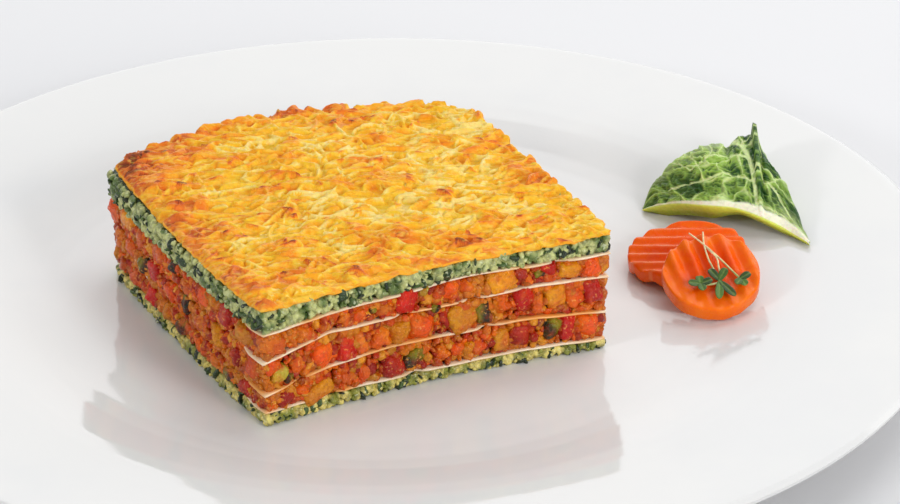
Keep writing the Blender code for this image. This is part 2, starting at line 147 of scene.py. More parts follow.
def buildMottle():  # blotches that darken a colour towards a tint, with a matching height
    group = bpy.data.node_groups.new("mottle", "ShaderNodeTree")
    for label, kind, value in (("Color", "NodeSocketColor", None), ("Tint", "NodeSocketColor", None),
                               ("Scale", "NodeSocketFloat", 400.0), ("Amount", "NodeSocketFloat", 0.5)):
        socket = group.interface.new_socket(label, in_out="INPUT", socket_type=kind)
        if value is not None:
            socket.default_value = value
    group.interface.new_socket("Color", in_out="OUTPUT", socket_type="NodeSocketColor")
    group.interface.new_socket("Mask", in_out="OUTPUT", socket_type="NodeSocketFloat")
    group.interface.new_socket("Height", in_out="OUTPUT", socket_type="NodeSocketFloat")
    given = group.nodes.new("NodeGroupInput")
    result = group.nodes.new("NodeGroupOutput")
    place = addNode(group, "ShaderNodeTexCoord")
    coarse = addNode(group, "ShaderNodeTexNoise", {"Vector": place.outputs["Object"],
                     "Scale": given.outputs["Scale"], "Detail": 4.0, "Roughness": 0.6})
    edge = addNode(group, "ShaderNodeMapRange", {"Value": coarse.outputs["Fac"], "From Min": 0.42,
                   "From Max": 0.66}, interpolation_type="SMOOTHSTEP")
    share = addNode(group, "ShaderNodeMath", {0: edge.outputs["Result"], 1: given.outputs["Amount"]},
                    operation="MULTIPLY")
    mixed = addNode(group, "ShaderNodeMix", {"Factor": share.outputs[0], 6: given.outputs["Color"],
                    7: given.outputs["Tint"]}, data_type="RGBA")
    group.links.new(mixed.outputs[2], result.inputs["Color"])
    group.links.new(edge.outputs["Result"], result.inputs["Mask"])
    group.links.new(coarse.outputs["Fac"], result.inputs["Height"])
    return group


mottle = buildMottle()


def newMaterial(name, roughness, soft=0.0, reach=(1.0, 0.4, 0.2), depth=0.0015, coat=0.0,
                coatRoughness=0.15, shine=0.5):
    # a plain Principled material; soft, reach and depth set its light below the surface
    made = bpy.data.materials.new(name)
    made.use_nodes = True
    shader = made.node_tree.nodes["Principled BSDF"]
    shader.inputs["Roughness"].default_value = roughness
    shader.inputs["Subsurface Weight"].default_value = soft
    shader.inputs["Subsurface Radius"].default_value = reach
    shader.inputs["Subsurface Scale"].default_value = depth
    shader.inputs["Coat Weight"].default_value = coat
    shader.inputs["Coat Roughness"].default_value = coatRoughness
    shader.inputs["Specular IOR Level"].default_value = shine
    return made, made.node_tree, shader


def mottled(tree, colour, tint, scale, amount):  # places the shared blotch group
    made = addNode(tree, "ShaderNodeGroup", node_tree=mottle)
    if isinstance(colour, bpy.types.NodeSocket):
        tree.links.new(colour, made.inputs["Color"])
    else:
        made.inputs["Color"].default_value = (*colour, 1)
    made.inputs["Tint"].default_value = (*tint, 1)
    made.inputs["Scale"].default_value = scale
    made.inputs["Amount"].default_value = amount
    return made


def addBump(tree, shader, height, distance, strength=1.0):  # fine relief in the surface's normal
    bump = addNode(tree, "ShaderNodeBump", {"Height": height, "Distance": distance, "Strength": strength})
    tree.links.new(bump.outputs["Normal"], shader.inputs["Normal"])


def dyedMaterial(name, tint, scale, amount, bumpDistance, wet, paintedGlints=None, **look):
    # colour from the piece's own dye, blotched; wet spots are smoother where the blotch mask is low
    made, tree, shader = newMaterial(name, **look)
    dye = addNode(tree, "ShaderNodeAttribute", attribute_name="dye")
    spots = mottled(tree, dye.outputs["Color"], tint, scale, amount)
    colour = spots.outputs["Color"]
    if paintedGlints:  # painted glints: small pale spots that stand in for wet highlights, where a finer noise is highest
        tone, fineScale, share = paintedGlints
        place = addNode(tree, "ShaderNodeTexCoord")
        fine = addNode(tree, "ShaderNodeTexNoise", {"Vector": place.outputs["Object"], "Scale": fineScale,
                       "Detail": 1.0})
        glintShare = addNode(tree, "ShaderNodeMapRange", {"Value": fine.outputs["Fac"], "From Min": 0.62,
                       "From Max": 0.76, "To Max": share}, interpolation_type="SMOOTHSTEP")
        mixed = addNode(tree, "ShaderNodeMix", {"Factor": glintShare.outputs["Result"], 6: colour,
                        7: (*paint(*tone), 1)}, data_type="RGBA")
        colour = mixed.outputs[2]
    tree.links.new(colour, shader.inputs["Base Color"])
    gloss = addNode(tree, "ShaderNodeMapRange", {"Value": spots.outputs["Mask"], "To Min": wet[0],
                    "To Max": wet[1]})
    tree.links.new(gloss.outputs["Result"], shader.inputs["Roughness"])
    addBump(tree, shader, spots.outputs["Height"], bumpDistance)
    return made


dyedLooks = {  # tint, blotch scale and amount, bump, roughness wet and dry, painted glints, the shader's own values
    "ragout": ((160, 36, 2), 1000.0, 0.36, 0.0009, (0.05, 0.2), ((255, 184, 84), 1150.0, 0.55),
               dict(roughness=0.2, soft=0.12, reach=(1.0, 0.3, 0.06), depth=0.001, shine=0.4)),
    "spinach": ((26, 48, 14), 700.0, 0.55, 0.0009, (0.08, 0.3), ((232, 240, 196), 800.0, 0.6),
                dict(roughness=0.3, soft=0.1, reach=(0.7, 1.0, 0.3), depth=0.001, coat=0.1,
                     coatRoughness=0.08)),
    "pasta": ((226, 170, 110), 260.0, 0.4, 0.00012, (0.3, 0.5), None,
              dict(roughness=0.4, soft=0.3, reach=(1.0, 0.7, 0.45), depth=0.0018, coat=0.2)),
    "leafGreen": ((60, 112, 34), 700.0, 0.12, 0.0003, (0.35, 0.55), None,
                  dict(roughness=0.45, soft=0.55, reach=(0.6, 1.0, 0.25), depth=0.0018, shine=0.3)),
    "carrot": ((232, 78, 4), 300.0, 0.35, 0.00012, (0.2, 0.38), None,
               dict(roughness=0.3, soft=0.3, reach=(1.0, 0.35, 0.1), depth=0.002, shine=0.22)),
    "cressGreen": ((28, 60, 20), 900.0, 0.35, 0.0001, (0.4, 0.55), None,
                   dict(roughness=0.5, soft=0.1, reach=(0.4, 1.0, 0.2), depth=0.0006)),
}
toastColours = ((0.0, (255, 232, 140)), (0.13, (255, 208, 44)), (0.4, (252, 172, 14)), (0.6, (240, 132, 22)),
                (0.8, (208, 92, 26)), (1.0, (120, 50, 18)))  # the crust from raw to brown


def porcelainMaterial():  # a smooth white glaze with faint blotches and a very low bump
    made, tree, shader = newMaterial("porcelain", 0.08, shine=0.36)
    glaze = mottled(tree, paint(226, 226, 225), paint(220, 221, 222), 14.0, 0.6)
    tree.links.new(glaze.outputs["Color"], shader.inputs["Base Color"])
    addBump(tree, shader, glaze.outputs["Height"], 0.00012, 0.4)
    return made


def crustMaterial():  # the toast attribute picks the colour, over it lie blotches and pale fibres: paler strands that are also a painted highlight on the raised tops of the bump
    made, tree, shader = newMaterial("bakedCheese", 0.45, soft=0.2, reach=(1.0, 0.5, 0.1), depth=0.0014,
                                     coat=0.08, coatRoughness=0.3, shine=0.3)
    toast = addNode(tree, "ShaderNodeAttribute", attribute_name="toast")
    shades = addNode(tree, "ShaderNodeValToRGB", {"Fac": toast.outputs["Fac"]})
    bar = shades.color_ramp
    while len(bar.elements) < len(toastColours):
        bar.elements.new(0.5)
    for element, (at, colour) in zip(bar.elements, toastColours):
        element.position = at
        element.color = (*paint(*colour), 1)
    fine = mottled(tree, shades.outputs["Color"], paint(226, 112, 18), 900.0, 0.2)
    place = addNode(tree, "ShaderNodeTexCoord")
    along = addNode(tree, "ShaderNodeMapping", {"Vector": place.outputs["Object"],
                    "Scale": (0.28, 1.0, 0.8)})
    fibres = addNode(tree, "ShaderNodeTexNoise", {"Vector": along.outputs["Vector"], "Scale": 1050.0,
                     "Detail": 3.0, "Roughness": 0.55, "Distortion": 0.6})
    # the pale streaks fall where the fibre bump is highest: paler strands, and painted highlight on their
    # raised tops
    streak = addNode(tree, "ShaderNodeMapRange", {"Value": fibres.outputs["Fac"], "From Min": 0.5,
                     "From Max": 0.72, "To Max": 0.5}, interpolation_type="SMOOTHSTEP")
    pale = addNode(tree, "ShaderNodeMix", {"Factor": streak.outputs["Result"], 6: fine.outputs["Color"],
                   7: (*paint(255, 222, 96), 1)}, data_type="RGBA")
    tree.links.new(pale.outputs[2], shader.inputs["Base Color"])
    grease = addNode(tree, "ShaderNodeMapRange", {"Value": toast.outputs["Fac"], "To Min": 0.32,
                     "To Max": 0.6})
    tree.links.new(grease.outputs["Result"], shader.inputs["Roughness"])
    addBump(tree, shader, fibres.outputs["Fac"], 0.0009)
    return made


def buildMaterials():
    made = {"porcelain": porcelainMaterial(), "bakedCheese": crustMaterial()}
    for name, (tint, scale, amount, bumpDistance, wet, paintedGlints, look) in dyedLooks.items():
        made[name] = dyedMaterial(name, paint(*tint), scale, amount, bumpDistance, wet, paintedGlints, **look)
    return made


finishes = buildMaterials()
print("materials built")


# plate
plateValues = {  # the section runs out over the face, "upper" points long, and back under the foot ring
    "turnSteps": 208, "cornerReach": 4.0, "roundings": 3, "upper": 9,
    "section": ((0, 0), (80, 0), (88, 0.35), (94, 1.1), (100, 2.25), (106, 3.4), (112, 4.25), (119, 4.9),
                (148.5, 7), (150, 6), (149.2, 4.2), (104.5, 0.5), (92, -5), (78, -5.6), (77.4, -11),
                (72.5, -11), (71.7, -5), (0, -5)),
}


def cutCorners(points, reach, times):
    # each corner gets a point a short reach to both sides, then every corner is cut off at a quarter
    points = np.array(points, dtype=float)
    fine = [points[0]]
    for a, b in zip(points, points[1:]):
        length = np.linalg.norm(b - a)
        near = min(reach, length / 3) / length
        fine += [a + (b - a) * near, a + (b - a) * (1 - near), b]
    fine = np.array(fine)
    for _ in range(times):
        near, far = fine[:-1] * 0.75 + fine[1:] * 0.25, fine[:-1] * 0.25 + fine[1:] * 0.75
        fine = np.vstack((fine[:1], np.stack((near, far), 1).reshape(-1, 2), fine[-1:]))
    return fine


def makePlate():
    # the section turned once about the axis: (r cos a, r sin a, z)
    section = cutCorners(plateValues["section"], plateValues["cornerReach"], plateValues["roundings"])
    steps = plateValues["turnSteps"]
    turn = np.linspace(0, 2 * np.pi, steps, endpoint=False)
    ring = section[1:-1]
    x = ring[:, :1] * np.cos(turn)
    y = ring[:, :1] * np.sin(turn)
    z = np.repeat(ring[:, 1:] + wellFloor, steps, axis=1)
    points = np.stack((x, y, z), -1).reshape(-1, 3)
    ends = np.array(((0, 0, wellFloor), (0, 0, wellFloor + section[-1, 1])))
    top = len(points)
    walls = gridFaces(len(ring), steps, closed=True)[:, ::-1]
    first = np.arange(steps)
    last = np.arange(steps) + (len(ring) - 1) * steps
    caps = np.vstack((fanFaces(first, top), fanFaces(last, top + 1)[:, ::-1]))
    plate = makePiece("platePorcelain", np.vstack((points, ends)), [walls, caps], finishes["porcelain"])
    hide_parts("plate")


makePlate()
print("plate made")


# the slice's plan and levels, which all its layers share
sliceValues = {
    "front": (-28.2, -70.8), "right": (58.6, -30.2), "back": (21.5, 51.0), "left": (-71.4, 14.6),
    "bows": (-4.2, -0.8, 9.2, 0.8),  # front right, right back, back left and left front cut
    "backLeftSkew": 0.87, "cornerPull": 1.2, "backCornerPull": 6.0, "halfWidth": 45.0,
    "flare": 0.8, "height": 36.0, "wave": 0.45, "waveTurns": (5.2, 4.4), "sheet": 0.78, "side": 97,
}
levels = {  # heights along the front right cut, then at the left and the back corner
    "sheet4": ((4.2, 4.3, 3.7, 3.0, 3.0, 2.9), 3.1, 3.2),
    "sheet3": ((9.0, 12.0, 12.7, 12.1, 12.6, 11.0), 8.9, 10.6),
    "sheet2": ((18.0, 22.0, 21.6, 21.4, 21.7, 20.5), 15.8, 19.0),
    "sheet1": ((25.8, 27.0, 27.2, 28.5, 28.2, 28.0), 22.8, 26.0),
    "crust": ((32.8, 32.5, 32.7, 32.9, 32.4, 33.0), 29.8, 31.2),
}


def cutPoint(start, end, bow, t, skew=1.0):  # straight from start to end, plus a bow that is widest half way
    start, end = np.array(start), np.array(end)
    along = end - start
    out = np.array((along[1], -along[0])) / np.hypot(*along)
    return start + t[..., None] * along + (bow * 4 * t**skew * (1 - t**skew))[..., None] * out


def planPoints(u, v, height=0.0, grow=0.0, leftInset=0.0):
    # a Coons patch between the four cuts, scaled about its middle by the growth and the flare
    s = sliceValues
    corners = [np.array(s[k]) for k in ("front", "right", "left", "back")]
    frontRight = cutPoint(corners[0], corners[1], s["bows"][0], u)
    backLeft = cutPoint(corners[2], corners[3], -s["bows"][2], u, s["backLeftSkew"])
    leftFront = cutPoint(corners[0], corners[2], -s["bows"][3], v)
    rightBack = cutPoint(corners[1], corners[3], s["bows"][1], v)
    u, v = u[..., None], v[..., None]
    flat = (1 - v) * ((1 - u) * corners[0] + u * corners[1]) + v * ((1 - u) * corners[2] + u * corners[3])
    point = (1 - v) * frontRight + v * backLeft + (1 - u) * leftFront + u * rightBack - flat
    middle = sum(corners) / 4
    away = point - middle
    reach = np.maximum(np.linalg.norm(away, axis=-1, keepdims=True), 1e-6)
    corner = np.abs((2 * u - 1) * (2 * v - 1)) ** 8
    pull = s["cornerPull"] + np.where((u > 0.5) & (v > 0.5), s["backCornerPull"], 0.0)
    scale = 1 + (np.asarray(grow + s["flare"] * height / s["height"])[..., None]) / s["halfWidth"]
    point = middle + away * scale - away / reach * pull * corner
    return point + leftInset * (1 - u) * v * np.array((1.0, 0.0))


def levelHeight(name, u, v):  # the front right line ruled to the straight back, plus one slow wave each way
    along, left, back = levels[name]
    front = np.interp(u, np.linspace(0, 1, len(along)), along)
    a, b = sliceValues["waveTurns"]
    wave = sliceValues["wave"] * np.sin(a * u + along[0]) * np.sin(b * v + 2 * along[0])
    return front * (1 - v) + (left * (1 - u) + back * u) * v + wave


def around(share):  # (u, v) at a share of the way round the four cuts, 0 to 4
    share = share % 4
    t = share % 1
    side = share.astype(int)
    u = np.choose(side, (t, np.ones_like(t), 1 - t, np.zeros_like(t)))
    v = np.choose(side, (np.zeros_like(t), t, np.ones_like(t), 1 - t))
    return u, v


def outwardAt(share):  # unit direction straight out of the slice, in plan, rounded off at the corners
    total = np.zeros(share.shape + (2,))
    for step in (-0.03, -0.01, 0.01, 0.03):
        a = planPoints(*around(share + step - 0.01))
        b = planPoints(*around(share + step + 0.01))
        along = b - a
        total += np.stack((along[..., 1], -along[..., 0]), -1)
    return total / np.linalg.norm(total, axis=-1, keepdims=True)


def wallPoint(share, height, out):  # a point at the cut, moved straight out by a distance
    u, v = around(share)
    place = planPoints(u, v, height) + outwardAt(share) * np.asarray(out)[..., None]
    return np.concatenate((place, np.asarray(height + wellFloor)[..., None]), -1)


def planNoise(u, v, size, seed, layer=0):  # soft noise over the slice's plan, another one for each layer
    side = sliceValues["side"]
    flat = np.stack((u * side, v * side, 0 * u + layer), -1).reshape(-1, 3)
    return softNoise(flat, size, seed).reshape(u.shape)


# many small lumps in one mesh
def roundTemplate(rows, columns):  # a unit ball on a grid of turns
    down = np.linspace(0, np.pi, rows + 2)[1:-1]
    turn = np.linspace(0, 2 * np.pi, columns, endpoint=False)
    a, b = np.meshgrid(down, turn, indexing="ij")
    ball = np.stack((np.sin(a) * np.cos(b), np.sin(a) * np.sin(b), np.cos(a)), -1).reshape(-1, 3)
    points = np.vstack((ball, (0, 0, 1), (0, 0, -1)))
    quads = gridFaces(rows, columns, closed=True)[:, ::-1]
    top = np.arange(columns)
    bottom = top + (rows - 1) * columns
    caps = np.vstack((fanFaces(top, len(ball)), fanFaces(bottom, len(ball) + 1)[:, ::-1]))
    return points, quads, caps


def boxy(points, sharp):  # pushes a unit ball towards a cube: each direction divided by its own p-norm
    norm = (np.abs(points) ** sharp).sum(axis=1, keepdims=True) ** (1 / sharp)
    return points / norm


def turnMatrices(draw, count):  # random turns about X, then Y, then Z
    ax, ay = draw.uniform(-math.pi, math.pi, (2, count))
    az = draw.uniform(-math.pi, math.pi, count)
    cx, sx, cy, sy, cz, sz = np.cos(ax), np.sin(ax), np.cos(ay), np.sin(ay), np.cos(az), np.sin(az)
    zero, one = np.zeros(count), np.ones(count)
    rx = np.stack((one, zero, zero, zero, cx, -sx, zero, sx, cx), -1).reshape(-1, 3, 3)
    ry = np.stack((cy, zero, sy, zero, one, zero, -sy, zero, cy), -1).reshape(-1, 3, 3)
    rz = np.stack((cz, -sz, zero, sz, cz, zero, zero, zero, one), -1).reshape(-1, 3, 3)
    return rz @ ry @ rx


def scatter(template, centres, sizes, turns, lumpy, lumpSize, seed):
    # copies of a template, each scaled, turned and moved, then swollen by noise read at its own place
    points, quads, caps = template
    count = len(centres)
    local = points[None] * sizes[:, None, :]
    world = np.einsum("nij,nkj->nki", turns, local)
    radius = np.linalg.norm(world, axis=2, keepdims=True)
    noise = softNoise((world + centres[:, None, :]).reshape(-1, 3), lumpSize, seed).reshape(count, -1, 1)
    world = world * (1 + lumpy * noise / np.maximum(radius, 0.3)) + centres[:, None, :]
    offsets = (np.arange(count) * len(points))[:, None, None]
    return (world.reshape(-1, 3), (quads[None] + offsets).reshape(-1, 4),
            (caps[None] + offsets).reshape(-1, 3))


def joined(parts):  # several (points, quads, triangles, dye) as one mesh's arrays
    start, points, quads, tris, dyes = 0, [], [], [], []
    for p, q, t, d in parts:
        points.append(p)
        quads.append(q + start)
        tris.append(t + start)
        dyes.append(d)
        start += len(p)
    return np.vstack(points), [np.vstack(quads), np.vstack(tris)], np.vstack(dyes)


def wallGrid(draw, spacing, rows, shift, bottom, top):
    # rows of places all round the cuts, each shifted by chance: its share, its height and the limits there
    columns = int(4 * sliceValues["side"] / spacing)
    share = (np.arange(columns)[:, None] + draw.uniform(-0.45, 0.45, (columns, rows))) / columns * 4
    t = (np.arange(rows)[None] + 0.5 + draw.uniform(-shift, shift, (columns, rows))) / rows
    share, t = share.ravel() % 4, t.ravel()
    u, v = around(share)
    low, high = bottom(u, v), top(u, v)
    return share, low + (high - low) * t, low, high


coreValues = {"columns": 420, "swell": 0.5, "shrink": (0.86, 0.45)}


def coreBand(bottom, top, inset, rows, dye):
    # a closed core: a wall round the cuts that swells half way up, and over and under it rings that shrink
    # to the middle
    columns = coreValues["columns"]
    share = np.linspace(0, 4, columns, endpoint=False)
    u, v = around(share)
    low, high = bottom(u, v), top(u, v)
    t = np.linspace(0, 1, rows)[:, None]
    height = low + (high - low) * t
    wide = np.repeat(share[None], rows, 0)
    wall = wallPoint(wide, height, -inset + coreValues["swell"] * np.sin(np.pi * t) + 0 * height)
    rings = [wall.reshape(-1, 3)]
    for side in (bottom, top):
        for k in coreValues["shrink"]:
            uu, vv = 0.5 + (u - 0.5) * k, 0.5 + (v - 0.5) * k
            z = side(uu, vv)
            rings.append(np.column_stack((planPoints(uu, vv, z), z + wellFloor)))
    half = np.array((0.5,))
    for side in (bottom, top):
        z = side(half, half)
        rings.append(np.column_stack((planPoints(half, half, z), z + wellFloor)))
    points = np.vstack(rings)
    n = columns
    base = rows * n
    ringIndex = np.arange(n)

    def bridge(a, b):
        return np.stack((a, np.roll(a, -1), np.roll(b, -1), b), -1)

    lowRings = [ringIndex, base + ringIndex, base + n + ringIndex]
    highRings = [(rows - 1) * n + ringIndex, base + 2 * n + ringIndex, base + 3 * n + ringIndex]
    quads = [gridFaces(rows, n, closed=True)]
    for a, b in zip(lowRings, lowRings[1:]):
        quads.append(bridge(a, b)[:, ::-1])
    for a, b in zip(highRings, highRings[1:]):
        quads.append(bridge(a, b))
    caps = np.vstack((fanFaces(lowRings[-1], base + 4 * n)[:, ::-1],
                      fanFaces(highRings[-1], base + 4 * n + 1)))
    return points, np.vstack(quads), caps, np.tile(dye, (len(points), 1))


# ragout layers
kinds = {  # skin and flesh colours of the vegetable dice
    "carrot": ((252, 88, 2), (254, 110, 6)),
    "soft": ((230, 96, 5), (240, 124, 12)),
    "squash": ((242, 146, 6), (250, 164, 12)),
    "pepper": ((206, 14, 3), (226, 34, 5)),
    "tomato": ((182, 22, 5), (208, 42, 8)),
    "green": ((24, 34, 5), (140, 134, 24)),
    "onion": ((214, 164, 36), (190, 174, 50)),
}
diceSeen = {  # share of the way round the cuts, height, the die's width and height, kind
    "ragout1": (
        (0.03, 22.6, 7.6, 6.0, "soft"), (0.125, 23.4, 5.6, 5.0, "soft"), (0.245, 23.6, 3.8, 4.2, "soft"),
        (0.29, 24.0, 4.0, 4.4, "carrot"), (0.325, 25.2, 2.0, 1.6, "green"), (0.355, 24.4, 3.6, 3.8, "soft"),
        (0.425, 25.2, 6.0, 6.6, "pepper"), (0.48, 26.8, 3.2, 2.4, "onion"),
        (0.55, 25.6, 4.8, 5.2, "carrot"), (0.60, 25.6, 3.8, 4.0, "soft"), (0.70, 24.8, 8.0, 5.6, "squash"),
        (0.752, 26.4, 4.0, 3.4, "tomato"), (0.805, 25.2, 3.2, 2.0, "green"),
        (0.83, 26.2, 3.8, 3.4, "pepper"), (0.89, 24.8, 6.0, 4.0, "squash"),
        (0.955, 24.8, 5.4, 6.4, "carrot"), (3.04, 20.4, 7.0, 6.6, "carrot"),
        (3.15, 22.4, 6.4, 5.0, "squash"), (3.24, 20.6, 6.0, 6.0, "soft"), (3.36, 21.4, 6.6, 6.0, "carrot"),
        (3.46, 22.2, 4.4, 4.6, "green"), (3.55, 21.0, 6.0, 5.6, "soft"), (3.66, 22.6, 6.2, 5.2, "carrot"),
        (3.79, 23.0, 6.4, 5.4, "pepper"), (3.9, 22.6, 6.4, 5.4, "squash")),
    "ragout2": (
        (0.02, 16.6, 4.0, 4.4, "carrot"), (0.05, 13.8, 5.0, 4.4, "onion"), (0.07, 12.6, 3.2, 2.4, "green"),
        (0.10, 15.6, 4.2, 5.0, "soft"), (0.178, 15.6, 6.6, 7.4, "carrot"),
        (0.248, 15.6, 5.8, 6.8, "pepper"), (0.292, 15.6, 4.0, 6.0, "soft"), (0.35, 15.8, 6.0, 6.0, "soft"),
        (0.405, 16.6, 5.6, 6.4, "squash"), (0.47, 16.6, 7.0, 7.6, "carrot"),
        (0.515, 20.9, 3.2, 2.2, "green"), (0.535, 17.6, 3.0, 6.0, "tomato"),
        (0.585, 16.6, 8.4, 7.8, "squash"), (0.648, 17.0, 4.2, 6.8, "green"), (0.70, 18.0, 5.0, 5.0, "soft"),
        (0.76, 18.8, 5.6, 6.0, "pepper"), (0.802, 17.0, 3.8, 6.2, "soft"),
        (0.852, 17.8, 5.4, 5.8, "squash"), (0.905, 16.6, 5.0, 6.0, "carrot"),
        (0.958, 17.4, 5.2, 6.6, "pepper"), (3.06, 13.6, 7.0, 6.4, "soft"), (3.16, 14.2, 6.6, 6.0, "carrot"),
        (3.25, 13.2, 5.0, 5.0, "green"), (3.33, 15.0, 5.4, 6.0, "pepper"), (3.43, 13.4, 6.4, 5.6, "carrot"),
        (3.53, 14.4, 5.0, 5.2, "green"), (3.62, 13.2, 6.6, 5.8, "soft"), (3.73, 14.6, 6.6, 5.8, "squash"),
        (3.84, 13.2, 7.0, 6.6, "tomato"), (3.94, 14.6, 6.4, 6.0, "carrot")),
    "ragout3": (
        (0.06, 6.6, 5.0, 4.6, "tomato"), (0.112, 7.6, 3.2, 3.2, "carrot"), (0.16, 5.8, 9.0, 4.8, "squash"),
        (0.25, 7.6, 4.6, 4.2, "soft"), (0.30, 7.4, 3.8, 4.0, "carrot"), (0.385, 7.0, 7.8, 6.8, "tomato"),
        (0.448, 8.0, 7.4, 4.4, "green"), (0.53, 7.6, 4.0, 4.4, "soft"), (0.575, 7.4, 3.8, 4.4, "carrot"),
        (0.605, 7.2, 3.4, 3.4, "squash"), (0.635, 7.0, 4.2, 4.6, "carrot"), (0.70, 7.8, 4.0, 5.8, "squash"),
        (0.755, 8.0, 6.6, 6.8, "tomato"), (0.845, 8.4, 5.6, 6.2, "green"), (0.887, 8.0, 4.2, 6.8, "pepper"),
        (0.95, 7.8, 6.6, 6.8, "carrot"), (3.08, 6.4, 6.0, 4.4, "soft"), (3.19, 6.4, 6.0, 4.6, "carrot"),
        (3.3, 6.2, 5.0, 4.2, "pepper"), (3.4, 6.4, 5.6, 4.4, "squash"), (3.5, 6.4, 6.0, 4.8, "green"),
        (3.6, 6.4, 5.6, 4.6, "carrot"), (3.71, 6.2, 5.0, 4.2, "soft"), (3.8, 6.4, 5.0, 4.2, "green"),
        (3.9, 6.6, 6.0, 4.8, "tomato")),
}
ragoutValues = {
    # the core's tone is far darker than the sauce: painted shade that shows in the gaps between the grains
    # and dice
    "coreInset": 2.2, "coreTone": (120, 30, 6), "grainSpacing": 1.6, "grainRows": 6,
    "grainRadius": (0.75, 1.8), "standOut": 0.65, "otherDice": 50, "dieSize": (2.6, 5.8),
    "sauce": (222, 82, 5), "ochre": (226, 132, 22), "fleck": (250, 176, 60),
    "grainTones": (((228, 84, 6), 0.26), ((238, 116, 8), 0.2), ((200, 50, 4), 0.16), ((246, 158, 30), 0.14),
                   ((172, 28, 4), 0.1), ((252, 100, 4), 0.14)),  # each with its share
    "sharpness": ((2.4, 0.75, ("soft", "tomato", "onion")), (3.0, 0.6, ("carrot", "green")),
                  (6.0, 0.35, ("squash", "pepper"))),  # how boxy and how lumpy the dice are
    "kindShares": (("carrot", 0.2), ("soft", 0.3), ("squash", 0.14), ("pepper", 0.13), ("tomato", 0.13),
                   ("green", 0.06), ("onion", 0.04)),
}


def dieDye(names, shape, points, draw, seed):  # skin on one side and flesh on the other, smeared with sauce
    count = len(shape)
    skin = np.repeat([paint(*kinds[k][0]) for k in names], count, axis=0)
    flesh = np.repeat([paint(*kinds[k][1]) for k in names], count, axis=0)
    side = np.repeat(draw.choice((-1, 1), len(names)), count)
    local = np.tile(shape, (len(names), 1))
    across = local[:, 1] * side + 0.5 * local[:, 2] + 0.5 * softNoise(points, 2.2, seed)
    blend = ramp(across, -0.1, 0.5)[:, None]
    sauce = 0.68 * ramp(softNoise(points, 1.7, seed + 3), 0.2, 0.75)[:, None]
    shade = np.repeat(draw.uniform(0.7, 1.06, len(names)), count)[:, None]
    return blended(blended(skin, flesh, blend) * shade, paint(*ragoutValues["sauce"]), sauce)


def ragoutGrains(draw, bottom, top, seed):  # fine lumps on a jittered grid over all four cuts
    values = ragoutValues
    share, height, low, high = wallGrid(draw, values["grainSpacing"], values["grainRows"], 0.4, bottom, top)
    radius = draw.uniform(*values["grainRadius"], len(share))
    height = np.clip(height, low + radius * 0.75, high - radius * 0.75)
    place = wallPoint(share, height, values["standOut"] - radius * draw.uniform(0.8, 1.5, len(share)))
    sizes = radius[:, None] * draw.uniform(0.65, 1.35, (len(share), 3))
    template = roundTemplate(5, 9)
    p, q, c = scatter(template, place, sizes, turnMatrices(draw, len(share)), 0.55, 1.1, seed)
    tones = np.array([paint(*tone) for tone, _ in values["grainTones"]])
    pick = draw.choice(len(tones), len(share), p=[chance for _, chance in values["grainTones"]])
    dye = np.repeat(tones[pick] * draw.uniform(0.58, 1.1, (len(share), 1)), len(template[0]), axis=0)
    ochre = 0.7 * ramp(softNoise(p, 7.0, seed + 6), 0.0, 0.5)[:, None]
    fleck = 0.55 * ramp(softNoise(p, 0.8, seed + 4), 0.3, 0.7)[:, None]
    dye = blended(dye, paint(*values["ochre"]), ochre)
    return p, q, c, blended(dye, paint(*values["fleck"]), fleck)


def pickDice(draw, name, bottom, top):
    # the dice that the photograph shows, then random ones round the other cuts
    values = ragoutValues
    names, chances = zip(*values["kindShares"])
    dice = list(diceSeen[name])
    others = values["otherDice"]
    for share in 1.03 + 1.96 * (np.arange(others) + draw.uniform(-0.3, 0.3, others)) / others:
        u, v = around(np.array((share,)))
        low, high = float(bottom(u, v)[0]), float(top(u, v)[0])
        wide = draw.uniform(*values["dieSize"])
        tall = min(draw.uniform(*values["dieSize"]), high - low)
        height = low + tall / 2 + draw.uniform(0, 1) * (high - low - tall)
        dice.append((share, height, wide, tall, names[draw.choice(len(names), p=chances)]))
    return dice


def ragoutDice(draw, dice, seed):  # boxes set into the wall, turned a little, one part for each sharpness
    values = ragoutValues
    share, height, wide, tall = (np.array([die[k] for die in dice]) for k in range(4))
    wide, tall = wide / 2, tall / 2
    deep = np.minimum(wide, tall) * 0.9
    place = wallPoint(share, height, values["standOut"] + 0.25 - deep * 0.8)
    outward = outwardAt(share)
    yaw = np.arctan2(outward[:, 1], outward[:, 0])
    tilt = draw.uniform(-0.45, 0.45, (3, len(dice)))
    turns = np.array([Matrix.Rotation(a + t0, 3, "Z") @ Matrix.Rotation(t1, 3, "Y")
                      @ Matrix.Rotation(t2, 3, "X") for a, t0, t1, t2 in zip(yaw, *tilt)])
    ball, quads, caps = roundTemplate(13, 20)
    sizes = np.stack((deep, wide, tall), -1)
    parts = []
    for group, (sharp, lumpy, members) in enumerate(values["sharpness"]):
        pick = np.array([i for i, die in enumerate(dice) if die[4] in members])
        shape = boxy(ball, sharp)
        p, q, c = scatter((shape, quads, caps), place[pick], sizes[pick], turns[pick], lumpy, 1.5,
                          seed + 50 + group)
        parts.append((p, q, c, dieDye([dice[i][4] for i in pick], shape, p, draw, seed)))
    return parts


